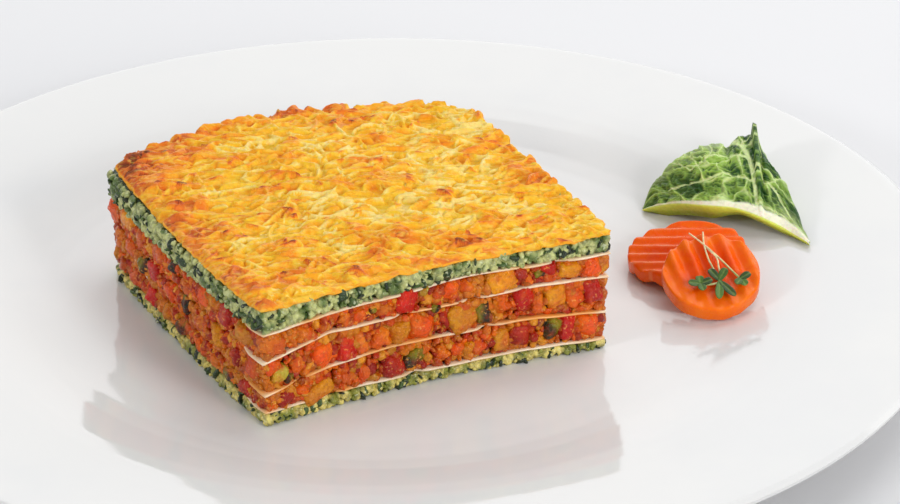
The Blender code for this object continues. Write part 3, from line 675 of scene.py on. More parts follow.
def makeRagout(name, node, below, above, seed):
    # a core between two pasta sheets, with lumpy balls and boxy dice set into its wall
    values = ragoutValues
    draw = np.random.default_rng(seed)
    clear = sliceValues["sheet"] / 2
    bottom = lambda u, v: levelHeight(below, u, v) + clear
    top = lambda u, v: levelHeight(above, u, v) - clear
    # the dark core shows between the lumps as painted shade
    parts = [coreBand(bottom, top, values["coreInset"], 8, paint(*values["coreTone"]))]
    parts.append(ragoutGrains(draw, bottom, top, seed))
    parts += ragoutDice(draw, pickDice(draw, name, bottom, top), seed)
    points, faces, dye = joined(parts)
    ragout = makePiece(name, points, faces, finishes["ragout"], dye)
    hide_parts(node)


makeRagout("ragout1", "ragout_layer_1", "sheet2", "sheet1", 21)
makeRagout("ragout2", "ragout_layer_2", "sheet3", "sheet2", 22)
makeRagout("ragout3", "ragout_layer_3", "sheet4", "sheet3", 23)
print("ragout made")


# spinach layers
spinachValues = {  # the lumps' radius is given as its least and its spread
    "lumpRadius": (0.7, 1.3), "spacing": 1.5, "leafSize": (1.4, 1.0, 0.45), "coreInset": 1.7,
    "coreTone": (40, 62, 28), "shreds": ((26, 42, 18), (42, 66, 26), (70, 96, 40)), "clearance": 0.05,
}


def makeSpinach(name, node, bottom, top, rows, standOut, pale, green, seed):
    # a core with lumpy balls in rows set into its wall, and flat shreds pressed in between them
    values = spinachValues
    draw = np.random.default_rng(seed)
    parts = [coreBand(bottom, top, values["coreInset"] - standOut, 6, paint(*values["coreTone"]))]
    share, height, low, high = wallGrid(draw, values["spacing"], rows, 0.35, bottom, top)
    least, spread = values["lumpRadius"]
    radius = np.minimum(least + spread * draw.uniform(0, 1, len(share)) ** 2, (high - low) * 0.5)
    height = np.clip(height, low + radius * 0.85, high - radius * 0.85)
    place = wallPoint(share, height, standOut - radius * draw.uniform(0.75, 1.25, len(share)))
    sizes = radius[:, None] * draw.uniform(0.8, 1.2, (len(share), 3))
    template = roundTemplate(5, 8)
    p, q, c = scatter(template, place, sizes, turnMatrices(draw, len(share)), 0.35, 0.8, seed)
    patch = ramp(softNoise(p, 2.2, seed + 5), -0.15, 0.45)[:, None]
    parts.append((p, q, c, blended(pale, green, 0.9 * patch)))

    # dark leaf shreds pressed in between the lumps
    count = len(share) // 4
    share = draw.uniform(0, 4, count)
    u, v = around(share)
    low, high = bottom(u, v), top(u, v)
    height = low + (high - low) * draw.uniform(0.15, 0.85, count)
    place = wallPoint(share, height, standOut - draw.uniform(0.2, 1.0, count))
    sizes = np.array(values["leafSize"]) * draw.uniform(0.6, 1.3, (count, 1))
    p, q, c = scatter(template, place, sizes, turnMatrices(draw, count), 0.3, 0.8, seed + 9)
    dark = np.array([paint(*tone) for tone in values["shreds"]])
    parts.append((p, q, c, np.repeat(dark[draw.integers(0, 3, count)], len(template[0]), axis=0)))
    points, faces, dye = joined(parts)
    # flat where it rests on the plate
    points[:, 2] = np.maximum(points[:, 2], wellFloor + values["clearance"])
    spinach = makePiece(name, points, faces, finishes["spinach"], dye)
    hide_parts(node)


halfSheet = sliceValues["sheet"] / 2
makeSpinach("spinachTop", "spinach_layer_top", lambda u, v: levelHeight("sheet1", u, v) + halfSheet,
            lambda u, v: levelHeight("crust", u, v) + 0.1, 4, 1.1, paint(210, 214, 140),
            paint(80, 110, 38), 31)
makeSpinach("spinachBottom", "spinach_layer_bottom", lambda u, v: 0.05 + 0 * u,
            lambda u, v: levelHeight("sheet4", u, v) - halfSheet, 3, 0.8, paint(244, 226, 128),
            paint(128, 138, 42), 32)
print("spinach made")


# slabs: pasta sheets and the crust
def makeSlab(top, bottom, edgeOut, cells, rows):
    # a grid on top, a skirt of rows that swells out by edgeOut, and a fan below
    n = cells + 1
    u, v = np.meshgrid(np.linspace(0, 1, n), np.linspace(0, 1, n), indexing="xy")
    topGrid = top(u, v)
    border = gridBorder(np.arange(n * n).reshape(n, n))
    share = np.arange(len(border)) / cells
    bu, bv = around(share)
    edge = topGrid.reshape(-1, 3)[border]
    low = bottom(bu, bv)
    out = outwardAt(share)
    rings = []
    for i in range(1, rows + 1):
        t = i / rows
        place = edge[:, :2] + (low[:, :2] - edge[:, :2]) * t + out * edgeOut(share, t)[:, None]
        rings.append(np.column_stack((place, edge[:, 2] + (low[:, 2] - edge[:, 2]) * t)))
    centre = np.array([[*planPoints(np.array(0.5), np.array(0.5)), low[:, 2].mean()]])
    points = np.vstack([topGrid.reshape(-1, 3)] + rings + [centre])
    quads = [gridFaces(n, n)]
    loops = [border] + [n * n + i * len(border) + np.arange(len(border)) for i in range(rows)]
    for a, b in zip(loops, loops[1:]):
        quads.append(np.stack((a, b, np.roll(b, -1), np.roll(a, -1)), -1))
    fan = fanFaces(loops[-1], len(points) - 1)[:, ::-1]
    return points, [np.vstack(quads), fan], (u, v, n)


pastaValues = {
    "standOut": 0.45, "leftInset": 1.5, "wobble": 0.45, "cells": 130,
    "pale": (250, 226, 196), "cream": (244, 204, 160), "stain": (240, 156, 44),
    "stained": (0.3, 0.25, -0.3, 0.1),  # a lower value stains that sheet more
    "hidden": {1: (0.86,), 2: (0.42, 0.62), 3: (0.10, 0.66), 4: (0.2, 0.45)},  # dips behind the filling
}


def makePasta(number, seed):
    # a slab half a sheet above and below its level, its edge standing out or lying back from the cuts
    name = "sheet%d" % number
    values = pastaValues

    def growth(u, v):  # stands out at the front right cut, lies back at the left one except near the corner
        left = ramp(1 - u, 0.94, 1.0) * ramp(v, 0.06, 0.16)
        noise = planNoise(u, v, 9.0, seed)
        dip = sum(np.exp(-((u - at) / 0.022) ** 2) for at in values["hidden"][number])
        dip = dip * ramp(1 - v, 0.9, 1.0)
        inset = (values["leftInset"] + 0.9 * noise) * left
        return values["standOut"] + values["wobble"] * noise - inset - 1.6 * dip

    def surface(offset):
        def points(u, v):
            z = levelHeight(name, u, v)
            z = z + 0.16 * planNoise(u, v, 5.0, seed + 3, number)
            place = planPoints(u, v, z, growth(u, v))
            return np.concatenate((place, (z + offset + wellFloor)[..., None]), -1)
        return points

    half = sliceValues["sheet"] / 2
    points, faces, _ = makeSlab(surface(half), surface(-half), lambda s, t: 0.35 * np.sin(np.pi * t) + 0 * s,
                                values["cells"], 5)
    tone = ramp(softNoise(points, 6.0, seed + 7), -0.5, 0.6)[:, None]
    dye = blended(paint(*values["pale"]), paint(*values["cream"]), tone)
    least = values["stained"][number - 1]
    stain = 0.85 * ramp(softNoise(points, 9.0, seed + 11), least, least + 0.45)[:, None]
    dye = blended(dye, paint(*values["stain"]), stain)
    sheet = makePiece("pastaSheet%d" % number, points, faces, finishes["pasta"], dye)
    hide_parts("pasta_sheet_%d" % number)


for number in (1, 2, 3, 4):
    makePasta(number, 40 + number)
print("pasta made")

crustValues = {
    "cells": 290, "thickness": 1.1, "crown": 2.0, "crownAt": (0.42, 0.95), "crownReach": (0.35, 0.4),
    "leftInset": 2.4, "strands": 3000, "length": (1.6, 5.6), "width": (0.42, 0.78), "tall": (0.6, 1.15),
    "heading": (0.08, 0.55), "blister": 0.8, "most": 37.5,
}


def crustBase(u, v):  # the slab's top before the strands: level, plus a swelling towards the back edge
    c = crustValues
    across = (u - c["crownAt"][0]) / c["crownReach"][0]
    back = (v - c["crownAt"][1]) / c["crownReach"][1]
    return levelHeight("crust", u, v) + c["thickness"] + c["crown"] * np.exp(-across**2 - back**2)


def strandField(x, y):
    # melted grated strands: each a bent ridge, round across, fading at its ends; the highest one shows
    c = crustValues
    draw = np.random.default_rng(77)
    flat = np.stack((x, y, 0 * x), -1).reshape(-1, 3)
    clump = softNoise(flat, 5.5, 3).reshape(x.shape)
    raised = ramp(softNoise(flat * (0.75, 1.15, 1), 4.4, 9).reshape(x.shape), -0.05, 0.65)
    height = np.full_like(x, -0.6)
    tone = np.zeros_like(x)
    low, high = (x.min(), y.min()), (x.max(), y.max())
    margin = 1.5  # how far past a strand's length its points are looked for
    for _ in range(c["strands"]):
        cx, cy = draw.uniform(low[0], high[0]), draw.uniform(low[1], high[1])
        heading = draw.normal(*c["heading"])
        length, width, tall = draw.uniform(*c["length"]), draw.uniform(*c["width"]), draw.uniform(*c["tall"])
        bend, lift, slope = draw.normal(0, 0.05), draw.uniform(-0.7, 0.4), draw.normal(0, 0.1)
        shade = draw.uniform(-1, 1)
        near = np.nonzero((np.abs(x - cx) < length + margin) & (np.abs(y - cy) < length + margin))
        if not len(near[0]):
            continue
        dx, dy = x[near] - cx, y[near] - cy
        a = dx * math.cos(heading) + dy * math.sin(heading)
        b = dy * math.cos(heading) - dx * math.sin(heading) - bend * a * a
        fade = np.sqrt(np.clip(1 - (a / length) ** 4, 0, 1))
        ridge = np.sqrt(np.clip(1 - (b / (width * np.maximum(fade, 0.05))) ** 2, 0, 1))
        z = np.where(ridge * fade > 0, lift + slope * a + tall * ridge * fade, -9)
        old = height[near]
        height[near] = np.maximum(old, z)
        tone[near] = np.where(z > old, shade * ridge, tone[near])
    return height + 0.5 * clump + c["blister"] * raised, tone, raised


def blurred(field, times):  # each value averaged with its four neighbours
    for _ in range(times):
        wide = np.pad(field, 1, mode="edge")
        field = (field * 2 + wide[:-2, 1:-1] + wide[2:, 1:-1] + wide[1:-1, :-2] + wide[1:-1, 2:]) / 6
    return field


def makeCrust():
    # a slab whose top carries the strands, lower at its front edges, rough behind, brown on its high spots,
    # with painted shade in its low places
    c = crustValues
    store = {}

    def top(u, v):
        base = crustBase(u, v)
        rough = planNoise(u, v, 2.2, 14)
        behind = np.maximum(ramp(u, 0.97, 1.0), ramp(v, 0.97, 1.0))
        place = planPoints(u, v, base, 0.35 + rough * (0.25 + 0.75 * behind), c["leftInset"])
        x, y = place[..., 0], place[..., 1]
        height, tone, raised = strandField(x, y)
        height = blurred(height, 1)
        edge = np.minimum(np.minimum(u, 1 - u), np.minimum(v, 1 - v)) * sliceValues["side"]
        front = np.minimum(u, v) * sliceValues["side"]
        height = height * (0.4 + 0.6 * ramp(front, 0.3, 3.5)) + 0.5 * behind * (1 + rough)
        z = base + height - 0.6 * (1 - ramp(edge, 0.0, 1.0)) ** 2
        store.update(height=height, tone=tone, raised=raised, x=x, y=y, edge=edge)
        return np.stack((x, y, np.minimum(z, c["most"] + 0.1 * np.tanh(z - c["most"])) + wellFloor), -1)

    def bottom(u, v):
        ragged = planNoise(u, v, 3.0, 15)
        z = levelHeight("crust", u, v) - 0.1 + 0.6 * ragged
        return np.concatenate((planPoints(u, v, z, 0.35, c["leftInset"]), (z + wellFloor)[..., None]), -1)

    def edgeOut(share, t):  # the cut edge bulges and is a little ragged
        along = share * sliceValues["side"]
        rough = softNoise(np.stack((along, 0 * share + t * 2, 0 * share), -1), 1.8, 16)
        return (0.6 + 0.4 * rough) * np.sin(np.pi * t**0.8)

    points, faces, (u, v, n) = makeSlab(top, bottom, edgeOut, c["cells"], 6)
    height, tone, raised, x, y = (store[k] for k in ("height", "tone", "raised", "x", "y"))
    local = height - blurred(height, 60)
    place = np.stack((x, y, 0 * x), -1).reshape(-1, 3)
    slow = softNoise(place, 17.0, 8).reshape(x.shape)
    rim = 1 - ramp(store["edge"], 0.5, 9.0)
    # browner at the back and the left, paler at the right
    backLeft = ramp(v, 0.8, 1.0) * 0.22 + ramp(1 - u, 0.78, 1.0) * 0.2 - ramp(u, 0.6, 0.95) * 0.07
    # valley marks the low places between the strands, made browner there as painted shade
    valley = ramp(-local, 0.15, 0.9)
    patch = ramp(softNoise(place, 7.0, 18).reshape(x.shape), 0.1, 0.6)
    toast = (0.17 + 0.18 * valley + 0.22 * tone + 0.12 * slow - 0.1 * patch + 0.28 * raised + 0.1 * rim
             + backLeft)
    spots = softNoise(place, 2.6, 10).reshape(x.shape)
    toast = toast + ramp(spots, 0.3, 0.7) * ramp(local, 0.2, 0.7) * 0.5
    skirt = len(points) - n * n
    full = np.concatenate((np.clip(toast, 0.02, 1).ravel(), np.full(skirt, 0.42)))
    crust = makePiece("cheeseCrust", points, faces, finishes["bakedCheese"], extra={"toast": full})
    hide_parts("cheese_crust")


makeCrust()
print("crust made")


# garnish
carrotValues = {  # "fade" is where the ridges fade out, "lines" where the painted highlight lines along the ridge tops end
    "back": {"radius": 16.0, "thickness": 3.6, "place": (82.0, 14.0, 4.1), "turn": (0, -4.0, 0),
             "ridges": 82.0, "core": (252, 92, 4), "rim": (254, 108, 8),
             "fade": None, "lines": (-6.0, 2.0)},
    "front": {"radius": 12.9, "thickness": 4.6, "place": (87.1, -6.9, 8.3), "turn": (23.0, 0, 0),
              "ridges": 17.0, "core": (244, 84, 4), "rim": (254, 120, 12),
              "fade": (-7.0, 5.0), "lines": None},
}
# line: the colour of the painted highlights along the ridge tops
crinkle = {"pitch": 4.8, "height": 0.8, "line": (255, 176, 120)}


def sliceTurn(values):  # how a carrot slice lies: its own frame in the world, in millimetres
    x, y, z = (math.radians(a) for a in values["turn"])
    turn = Matrix.Rotation(z, 3, "Z") @ Matrix.Rotation(y, 3, "Y") @ Matrix.Rotation(x, 3, "X")
    return np.array(turn), np.array(values["place"]) + (0, 0, wellFloor)


def makeCarrot(label, node, seed):
    # a waved disc: its rings run from the top's middle over the rounded edge to the bottom's middle
    values = carrotValues[label]
    radius, half = values["radius"], values["thickness"] / 2
    profile = [(r, half) for r in np.linspace(0.04, 0.95, 34) * radius]
    bevel = np.linspace(0, math.pi / 2, 6)[1:]
    profile += [(radius * 0.95 + 0.05 * radius * math.sin(a), half - 0.7 * (1 - math.cos(a)))
                for a in bevel]
    profile = np.array(profile)
    profile = np.vstack((profile, profile[::-1] * (1, -1)))
    steps = 160
    turn = np.linspace(0, 2 * np.pi, steps, endpoint=False)
    r, z = profile[:, :1], profile[:, 1:]
    wobble = 1 + 0.012 * np.sin(3 * turn + seed) + 0.008 * np.sin(7 * turn + 2 * seed)
    x, y = r * np.cos(turn) * wobble, r * np.sin(turn) * wobble
    a = math.radians(values["ridges"])
    across = x * math.cos(a) + y * math.sin(a)
    depth = 0.16 + 0.84 * ramp(y, *values["fade"]) if values["fade"] else 0.75
    turns = 2 * np.pi * across / crinkle["pitch"]
    wave = crinkle["height"] * depth * np.sin(turns)
    z = z + wave
    flat = np.stack((x, y, z + 0 * x), -1).reshape(-1, 3)
    flat[:, 2] += 0.09 * softNoise(flat, 1.4, seed) + 0.12 * softNoise(flat, 5.0, seed + 1)
    ends = np.array(((0, 0, half), (0, 0, -half)))
    count = len(flat)
    points = np.vstack((flat, ends))
    spin, place = sliceTurn(values)
    quads = gridFaces(len(profile), steps, closed=True)[:, ::-1]
    caps = np.vstack((fanFaces(np.arange(steps), count),
                      fanFaces(np.arange(steps) + (len(profile) - 1) * steps, count + 1)[:, ::-1]))
    share = np.hypot(points[:, 0], points[:, 1]) / radius
    angle = np.arctan2(points[:, 1], points[:, 0])
    streak = softNoise(np.column_stack((angle * 9, share * 2, 0 * share)), 1.0, seed)
    core, rim = paint(*values["core"]), paint(*values["rim"])
    blend = np.clip(ramp(share, 0.35, 1.0) + 0.25 * streak, 0, 1)[:, None]
    # pale lines along the ridge tops are painted highlights; the front slice has none
    paintedCrestHighlight = np.zeros((len(points), 1))
    if values["lines"]:
        high = ramp(np.append(np.sin(turns).ravel(), (0, 0)), 0.86, 1.0)
        paintedCrestHighlight = (0.5 * high * (1 - ramp(points[:, 0], *values["lines"])))[:, None]
    carrot = makePiece(label + "Carrot", points @ spin.T + place, [quads, caps], finishes["carrot"],
                       blended(blended(core, rim, blend), paint(*crinkle["line"]), paintedCrestHighlight))
    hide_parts(node)


makeCarrot("back", "carrot_slice_back", 61)
makeCarrot("front", "carrot_slice_front", 62)
print("carrots made")

leafValues = {
    "leftX": 71.6, "width": 43.0, "depth": (4, 32), "crestAt": 0.75, "fall": (10.0, 11.0), "bulge": 1.6,
    "edge": ((0.0, 46.8, 0.6), (0.19, 41.2, 5.0), (0.4, 33.7, 8.0), (0.58, 31.0, 8.2), (0.75, 26.0, 7.2),
             (0.88, 22.9, 5.6), (1.0, 16.8, 5.4)),
    "crest": ((0.0, 47.6, 0.8), (0.06, 53.1, 5.0), (0.15, 53.7, 9.0), (0.25, 56.4, 12.0), (0.34, 56.8, 14.0),
              (0.49, 57.1, 15.0), (0.55, 56.6, 14.4), (0.585, 58.2, 15.8), (0.63, 59.2, 16.5),
              (0.69, 59.4, 16.8), (0.708, 60.0, 17.5), (0.717, 61.4, 20.3), (0.727, 58.8, 17.0),
              (0.775, 50.5, 14.8), (0.85, 41.5, 11.6), (0.94, 28.2, 8.0), (1.0, 17.6, 5.6)),
    "cells": (272, 170), "blisters": 260, "fields": 40, "stalk": 2.8, "tip": (0.718, 0.016),
    "high": (160, 194, 82), "deep": (24, 72, 8), "vein": (218, 236, 166), "rib": (248, 248, 220),
    "cut": (218, 228, 90), "under": (176, 186, 34),
}
leafVeins = (  # each vein as points (share of the width, share of the depth), and its width in millimetres
    (((0.57, 0.78), (0.62, 0.66), (0.67, 0.5), (0.69, 0.3), (0.7, 0.06)), 0.55),
    (((0.67, 0.5), (0.55, 0.58), (0.42, 0.56), (0.3, 0.44)), 0.34),
    (((0.69, 0.3), (0.52, 0.36), (0.36, 0.28), (0.16, 0.3)), 0.34),
    (((0.68, 0.4), (0.8, 0.44), (0.9, 0.36)), 0.32),
    (((0.62, 0.66), (0.69, 0.76), (0.72, 0.97)), 0.3),
    (((0.7, 0.12), (0.84, 0.2), (0.95, 0.3)), 0.3),
    (((0.3, 0.44), (0.24, 0.62), (0.2, 0.78)), 0.26),
    (((0.42, 0.56), (0.44, 0.7), (0.42, 0.82)), 0.26),
)


def plateTop(radius):  # height of the plate's upper face above its well
    radii, heights = zip(*plateValues["section"][:plateValues["upper"]])
    return np.interp(radius, radii, heights)


def distanceToPath(x, y, path):  # shortest distance from each point to a chain of straight pieces
    best = np.full(x.shape, 1e9)
    for (ax, ay), (bx, by) in zip(path, path[1:]):
        dx, dy = bx - ax, by - ay
        t = np.clip(((x - ax) * dx + (y - ay) * dy) / (dx * dx + dy * dy), 0, 1)
        best = np.minimum(best, np.hypot(x - ax - t * dx, y - ay - t * dy))
    return best


def smoothLine(table, s):  # a curve through the table's points whose slopes are averaged at each one
    knots = np.array(table, dtype=float)
    at, values = knots[:, 0], knots[:, 1:]
    slopes = np.gradient(values, at, axis=0)
    i = np.clip(np.searchsorted(at, s, side="right") - 1, 0, len(at) - 2)
    wide = at[i + 1] - at[i]
    t = ((s - at[i]) / wide)[..., None]
    wide = wide[..., None]
    return ((2 * t**3 - 3 * t**2 + 1) * values[i] + (t**3 - 2 * t**2 + t) * wide * slopes[i]
            + (3 * t**2 - 2 * t**3) * values[i + 1] + (t**3 - t**2) * wide * slopes[i + 1])


def leafSheet(s, t, swell):
    # the leaf's middle: from the cut edge up over the crest, then down to the margin behind
    c = leafValues
    edge, crest = smoothLine(c["edge"], s), smoothLine(c["crest"], s)
    rise = np.clip(t / c["crestAt"], 0, 1)
    fall = np.clip((t - c["crestAt"]) / (1 - c["crestAt"]), 0, 1)
    x = c["leftX"] + c["width"] * s
    y = edge[..., 0] + (crest[..., 0] - edge[..., 0]) * rise + c["fall"][0] * swell * fall
    z = edge[..., 1] + (crest[..., 1] - edge[..., 1]) * rise + c["bulge"] * swell * np.sin(np.pi * rise)
    return np.stack((x, y, z - c["fall"][1] * swell * fall**1.6), -1)


def leafMarks(s, px, py):  # veins, blisters and creases at places on the flat leaf, for relief and colours
    c = leafValues
    least, most = c["depth"]
    flat = np.stack((px, py, 0 * px), -1).reshape(-1, 3)
    drift = np.stack([softNoise(flat + 40 * k, 3.0, 17 + k) for k in (0, 1)], -1).reshape(*s.shape, 2)
    wx, wy = px + 0.9 * drift[..., 0], py + 0.9 * drift[..., 1]
    draw = np.random.default_rng(5)

    def cells(count):  # distance to the nearest of some random places, and how much further the next one is
        seeds = np.column_stack((draw.uniform(0, c["width"], count), draw.uniform(0, least + most, count)))
        near = np.sort(np.hypot(wx[..., None] - seeds[:, 0], wy[..., None] - seeds[:, 1]), axis=-1)[..., :2]
        return near[..., 0], near[..., 1] - near[..., 0]

    _, netGap = cells(c["fields"])
    closest, smallGap = cells(c["blisters"])
    vein = np.zeros_like(s)
    for path, width in leafVeins:
        chain = [(a * c["width"], b * (most * math.sin(math.pi * a) + least)) for a, b in path]
        vein = np.maximum(vein, 1 - ramp(distanceToPath(px, py, chain), width * 0.5, width * 1.5))
    ribWidth = 1.0 + 2.2 * ramp(s, 0.1, 0.7)
    bent = np.stack((wx, wy, 0 * wx), -1).reshape(-1, 3)
    return {
        "gap": netGap, "net": 1 - ramp(netGap, 0.1, 0.5), "vein": vein,
        "valley": 1 - ramp(smallGap, 0.0, 0.8), "blister": np.clip(1 - (closest / 2.0) ** 2, 0, 1),
        "rib": 1 - ramp(py, ribWidth * 0.55, ribWidth * 1.35),
        "crumple": softNoise(flat, 6.5, 12).reshape(s.shape),
        "creases": 1 - 2 * np.abs(softNoise(bent, 1.5, 21).reshape(s.shape)),
        "fine": 1 - 2 * np.abs(softNoise(bent * (1, 1.6, 1), 0.9, 22).reshape(s.shape)),
    }


def leafPucker(s, t, swell, m):  # relief of the marks, flat at the rib, the ends and the thin tip
    pucker = (0.4 * m["blister"] - 0.2 * m["valley"] + 0.45 * m["creases"] + 0.2 * m["fine"]
              + 0.35 * m["net"] - 0.2 * m["vein"] + 0.9 * m["crumple"])
    tipAt, tipWide = leafValues["tip"]
    tip = np.exp(-((s - tipAt) / tipWide) ** 2) * ramp(t, 0.3, 0.6)
    return pucker * (1 - m["rib"]) * ramp(swell, 0.0, 0.35) * (1 - 0.9 * tip)


def leafDye(s, t, py, m):  # green fields, painted highlight and shade on the folds, paler veins, a painted highlight on the dome's top, a white rib and a yellow cut
    high, deep, vein, rib, cut = (paint(*leafValues[key]) for key in ("high", "deep", "vein", "rib", "cut"))
    inside = ramp(m["gap"], 0.2, 1.8)
    # the folds' relief also sets the tone: painted highlight on raised crinkles, painted shade in their
    # hollows
    foldHighlightAndShade = 0.4 * m["creases"] * inside + 0.3 * m["fine"] + 0.45 * m["crumple"]
    tone = ramp(0.75 - 0.75 * inside + foldHighlightAndShade, -0.1, 1.15)
    # lighter at the left end, darker below the tip as painted shade
    tone = tone + 0.2 * (1 - ramp(s, 0.1, 0.4)) - 0.38 * ramp(s, 0.48, 0.58) * ramp(t, 0.4, 0.62)
    green = blended(deep, high, np.clip(tone, 0, 1)[..., None])
    lines = np.maximum(0.95 * m["vein"], 0.75 * m["net"] * ramp(m["crumple"], -0.9, 0.1))
    crown = 0.4 * ramp(t, 0.5, 0.78) * (1 - ramp(s, 0.5, 0.6))  # painted highlight on the top of the dome
    cheek = 0.65 * ramp(s, 0.72, 0.95) * (1 - ramp(py, 2.5, 9.0))  # pale beside the rib at the right end
    pale = np.maximum(np.maximum(np.clip(lines, 0, 1), crown), cheek)[..., None]
    ribMask = ramp(m["rib"] + 0.12 * m["crumple"], 0.15, 0.8)[..., None]
    cutMask = 1 - ramp(py, 0.25, 0.75)[..., None]
    return blended(blended(green, vein, pale), blended(rib, cut, cutMask), ribMask)


def makeLeaf():
    # two puckered skins to both sides of the leaf's middle, thicker at the rib, and a strip that joins them
    c = leafValues
    s, t = np.meshgrid(np.linspace(0, 1, c["cells"][0]), np.linspace(0, 1, c["cells"][1]), indexing="xy")
    swell = 0.04 + 0.96 * np.sin(np.pi * s)
    least, most = c["depth"]
    px, py = s * c["width"], t * (most * swell + least)  # places on the flat leaf, in millimetres
    middle = leafSheet(s, t, swell)
    marks = leafMarks(s, px, py)
    pucker = leafPucker(s, t, swell, marks)[..., None]
    normal = surfaceNormals(middle)
    normal = normal * np.sign(normal[..., 2:3].mean())
    thick = (0.35 + 0.55 * marks["rib"])[..., None]
    upper = middle + normal * (pucker * 0.7) + normal * thick
    lower = middle + normal * (pucker * 0.5) - normal * thick * 0.8
    hang = c["stalk"] * ramp(s, 0.02, 0.14) * (1 - ramp(s, 0.4, 0.62)) * (1 - ramp(py, 0.0, 5.0))
    lower = lower + hang[..., None] * (0, 0.35, -1.0)  # the thick stalk end hangs below the cut edge
    floorUp = plateTop(np.hypot(middle[..., 0], middle[..., 1])) + 0.35
    lower[..., 2] = np.maximum(lower[..., 2], floorUp)
    upper[..., 2] = np.maximum(upper[..., 2], floorUp + 0.5)
    rows, columns = s.shape
    count = rows * columns
    points = np.vstack((upper.reshape(-1, 3), lower.reshape(-1, 3)))
    points[:, 2] += wellFloor
    border = gridBorder(np.arange(count).reshape(rows, columns))
    side = np.stack((border, border + count, np.roll(border, -1) + count, np.roll(border, -1)), -1)
    quads = np.vstack((gridFaces(rows, columns), gridFaces(rows, columns, count)[:, ::-1], side))
    green = leafDye(s, t, py, marks).reshape(-1, 3)
    # the lower skin's own paler yellow-green, brightened as painted light that shines through the leaf
    dye = np.vstack((green, np.broadcast_to(paint(*c["under"]), green.shape)))
    leaf = makePiece("savoyLeaf", points, [quads], finishes["leafGreen"], dye)
    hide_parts("leaf")


makeLeaf()
print("leaf made")

cressValues = {
    "stemRadius": 0.28,
    "stems": (((-5.6, 12.0), (-1.9, 7.9), (2.4, 3.0), (7.4, -3.6)),
              ((-1.9, 12.4), (-1.8, 7.9), (-0.9, 3.2), (0.3, 0.0), (1.8, -4.4)),
              ((-1.8, 7.8), (1.1, 3.7), (1.7, 0.6), (1.8, -4.4), (-3.2, -5.6))),
    "leaves": ((7.4, -3.6, 30, 3.6), (7.4, -3.8, 240, 3.2), (7.6, -3.8, 290, 3.2), (1.5, -3.8, 128, 4.8),
               (1.9, -3.8, 62, 4.6), (1.8, -5.0, 266, 7.0), (2.2, -5.0, 305, 7.4), (-3.4, -5.3, 182, 3.8),
               (-3.2, -5.2, 100, 3.0), (-3.0, -5.3, 20, 3.8), (-3.1, -5.5, 280, 3.2)),
    "leafWidth": 2.9, "leafThickness": 0.35, "stemTones": ((246, 226, 176), (176, 196, 110)),
    "greens": ((42, 72, 14), (62, 98, 20), (78, 116, 34)), "rib": (132, 158, 66),
}


def curveThrough(points, count):  # evenly spread samples of the smooth line through the points
    points = np.array(points, dtype=float)
    table = np.column_stack((np.arange(len(points)), points))
    return smoothLine(table, np.linspace(0, len(points) - 1, count))


def makeTube(path, radius, sides):  # a circle carried along a path, closed by a point at each end
    along = np.gradient(path, axis=0)
    along /= np.linalg.norm(along, axis=1, keepdims=True)
    side = np.cross(along, (0, 0, 1))
    side /= np.linalg.norm(side, axis=1, keepdims=True)
    up = np.cross(side, along)
    turn = np.linspace(0, 2 * np.pi, sides, endpoint=False)
    ring = np.cos(turn)[None, :, None] * side[:, None] + np.sin(turn)[None, :, None] * up[:, None]
    points = (path[:, None] + ring * np.asarray(radius)[:, None, None]).reshape(-1, 3)
    quads = gridFaces(len(path), sides, closed=True)
    count = len(points)
    last = np.arange(sides) + (len(path) - 1) * sides
    caps = np.vstack((fanFaces(np.arange(sides), count)[:, ::-1], fanFaces(last, count + 1)))
    return np.vstack((points, path[:1], path[-1:])), quads, caps


def makeCress():
    # stems are tubes along smooth lines on the carrot's face, leaves are flattened balls with drawn-out tips
    c = cressValues
    face = carrotValues["front"]
    lift = face["thickness"] / 2 + crinkle["height"] + 0.3 + c["stemRadius"]
    parts = []
    steps, sides = 40, 10
    pale, green = (paint(*tone) for tone in c["stemTones"])
    for stem in c["stems"]:
        path = curveThrough(stem, steps)
        path = np.column_stack((path, lift + 0.25 * np.sin(np.linspace(0, 5, steps))))
        p, q, t = makeTube(path, c["stemRadius"] * np.linspace(0.8, 1.0, steps), sides)
        tone = np.linspace(0, 1, steps)[:, None] ** 3
        tones = blended(pale, green, tone)
        parts.append((p, q, t, np.vstack((np.repeat(tones, sides, axis=0), tones[:1], tones[-1:]))))
    ball, quads, caps = roundTemplate(11, 14)
    for k, (x, y, angle, length) in enumerate(c["leaves"]):
        a = math.radians(angle)
        t = (ball[:, 0] + 1) / 2
        wide = np.sqrt(np.clip(4 * t * (1 - t), 0, 1)) * (0.55 + 0.45 * t)
        girth = np.maximum(np.sqrt(np.clip(1 - ball[:, 0] ** 2, 0, 1)), 0.05)
        bladeY = ball[:, 1] / girth * wide * c["leafWidth"] / 2
        fold = 0.35 * np.abs(bladeY) + 0.5 * t * t * (1 + 0.4 * math.sin(k * 2.1))
        local = np.column_stack((t * length - length * 0.18, bladeY,
                                 ball[:, 2] * c["leafThickness"] + fold + lift))
        world = np.column_stack((x + local[:, 0] * math.cos(a) - local[:, 1] * math.sin(a),
                                 y + local[:, 0] * math.sin(a) + local[:, 1] * math.cos(a), local[:, 2]))
        rib = ramp(0.28 - np.abs(bladeY), 0.0, 0.22)[:, None]
        parts.append((world, quads, caps, blended(paint(*c["greens"][k % 3]), paint(*c["rib"]), 0.5 * rib)))
    points, faces, dye = joined(parts)
    spin, place = sliceTurn(face)
    cress = makePiece("cressSprigs", points @ spin.T + place, faces, finishes["cressGreen"], dye)
    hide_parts("cress")


makeCress()
print("cress made")


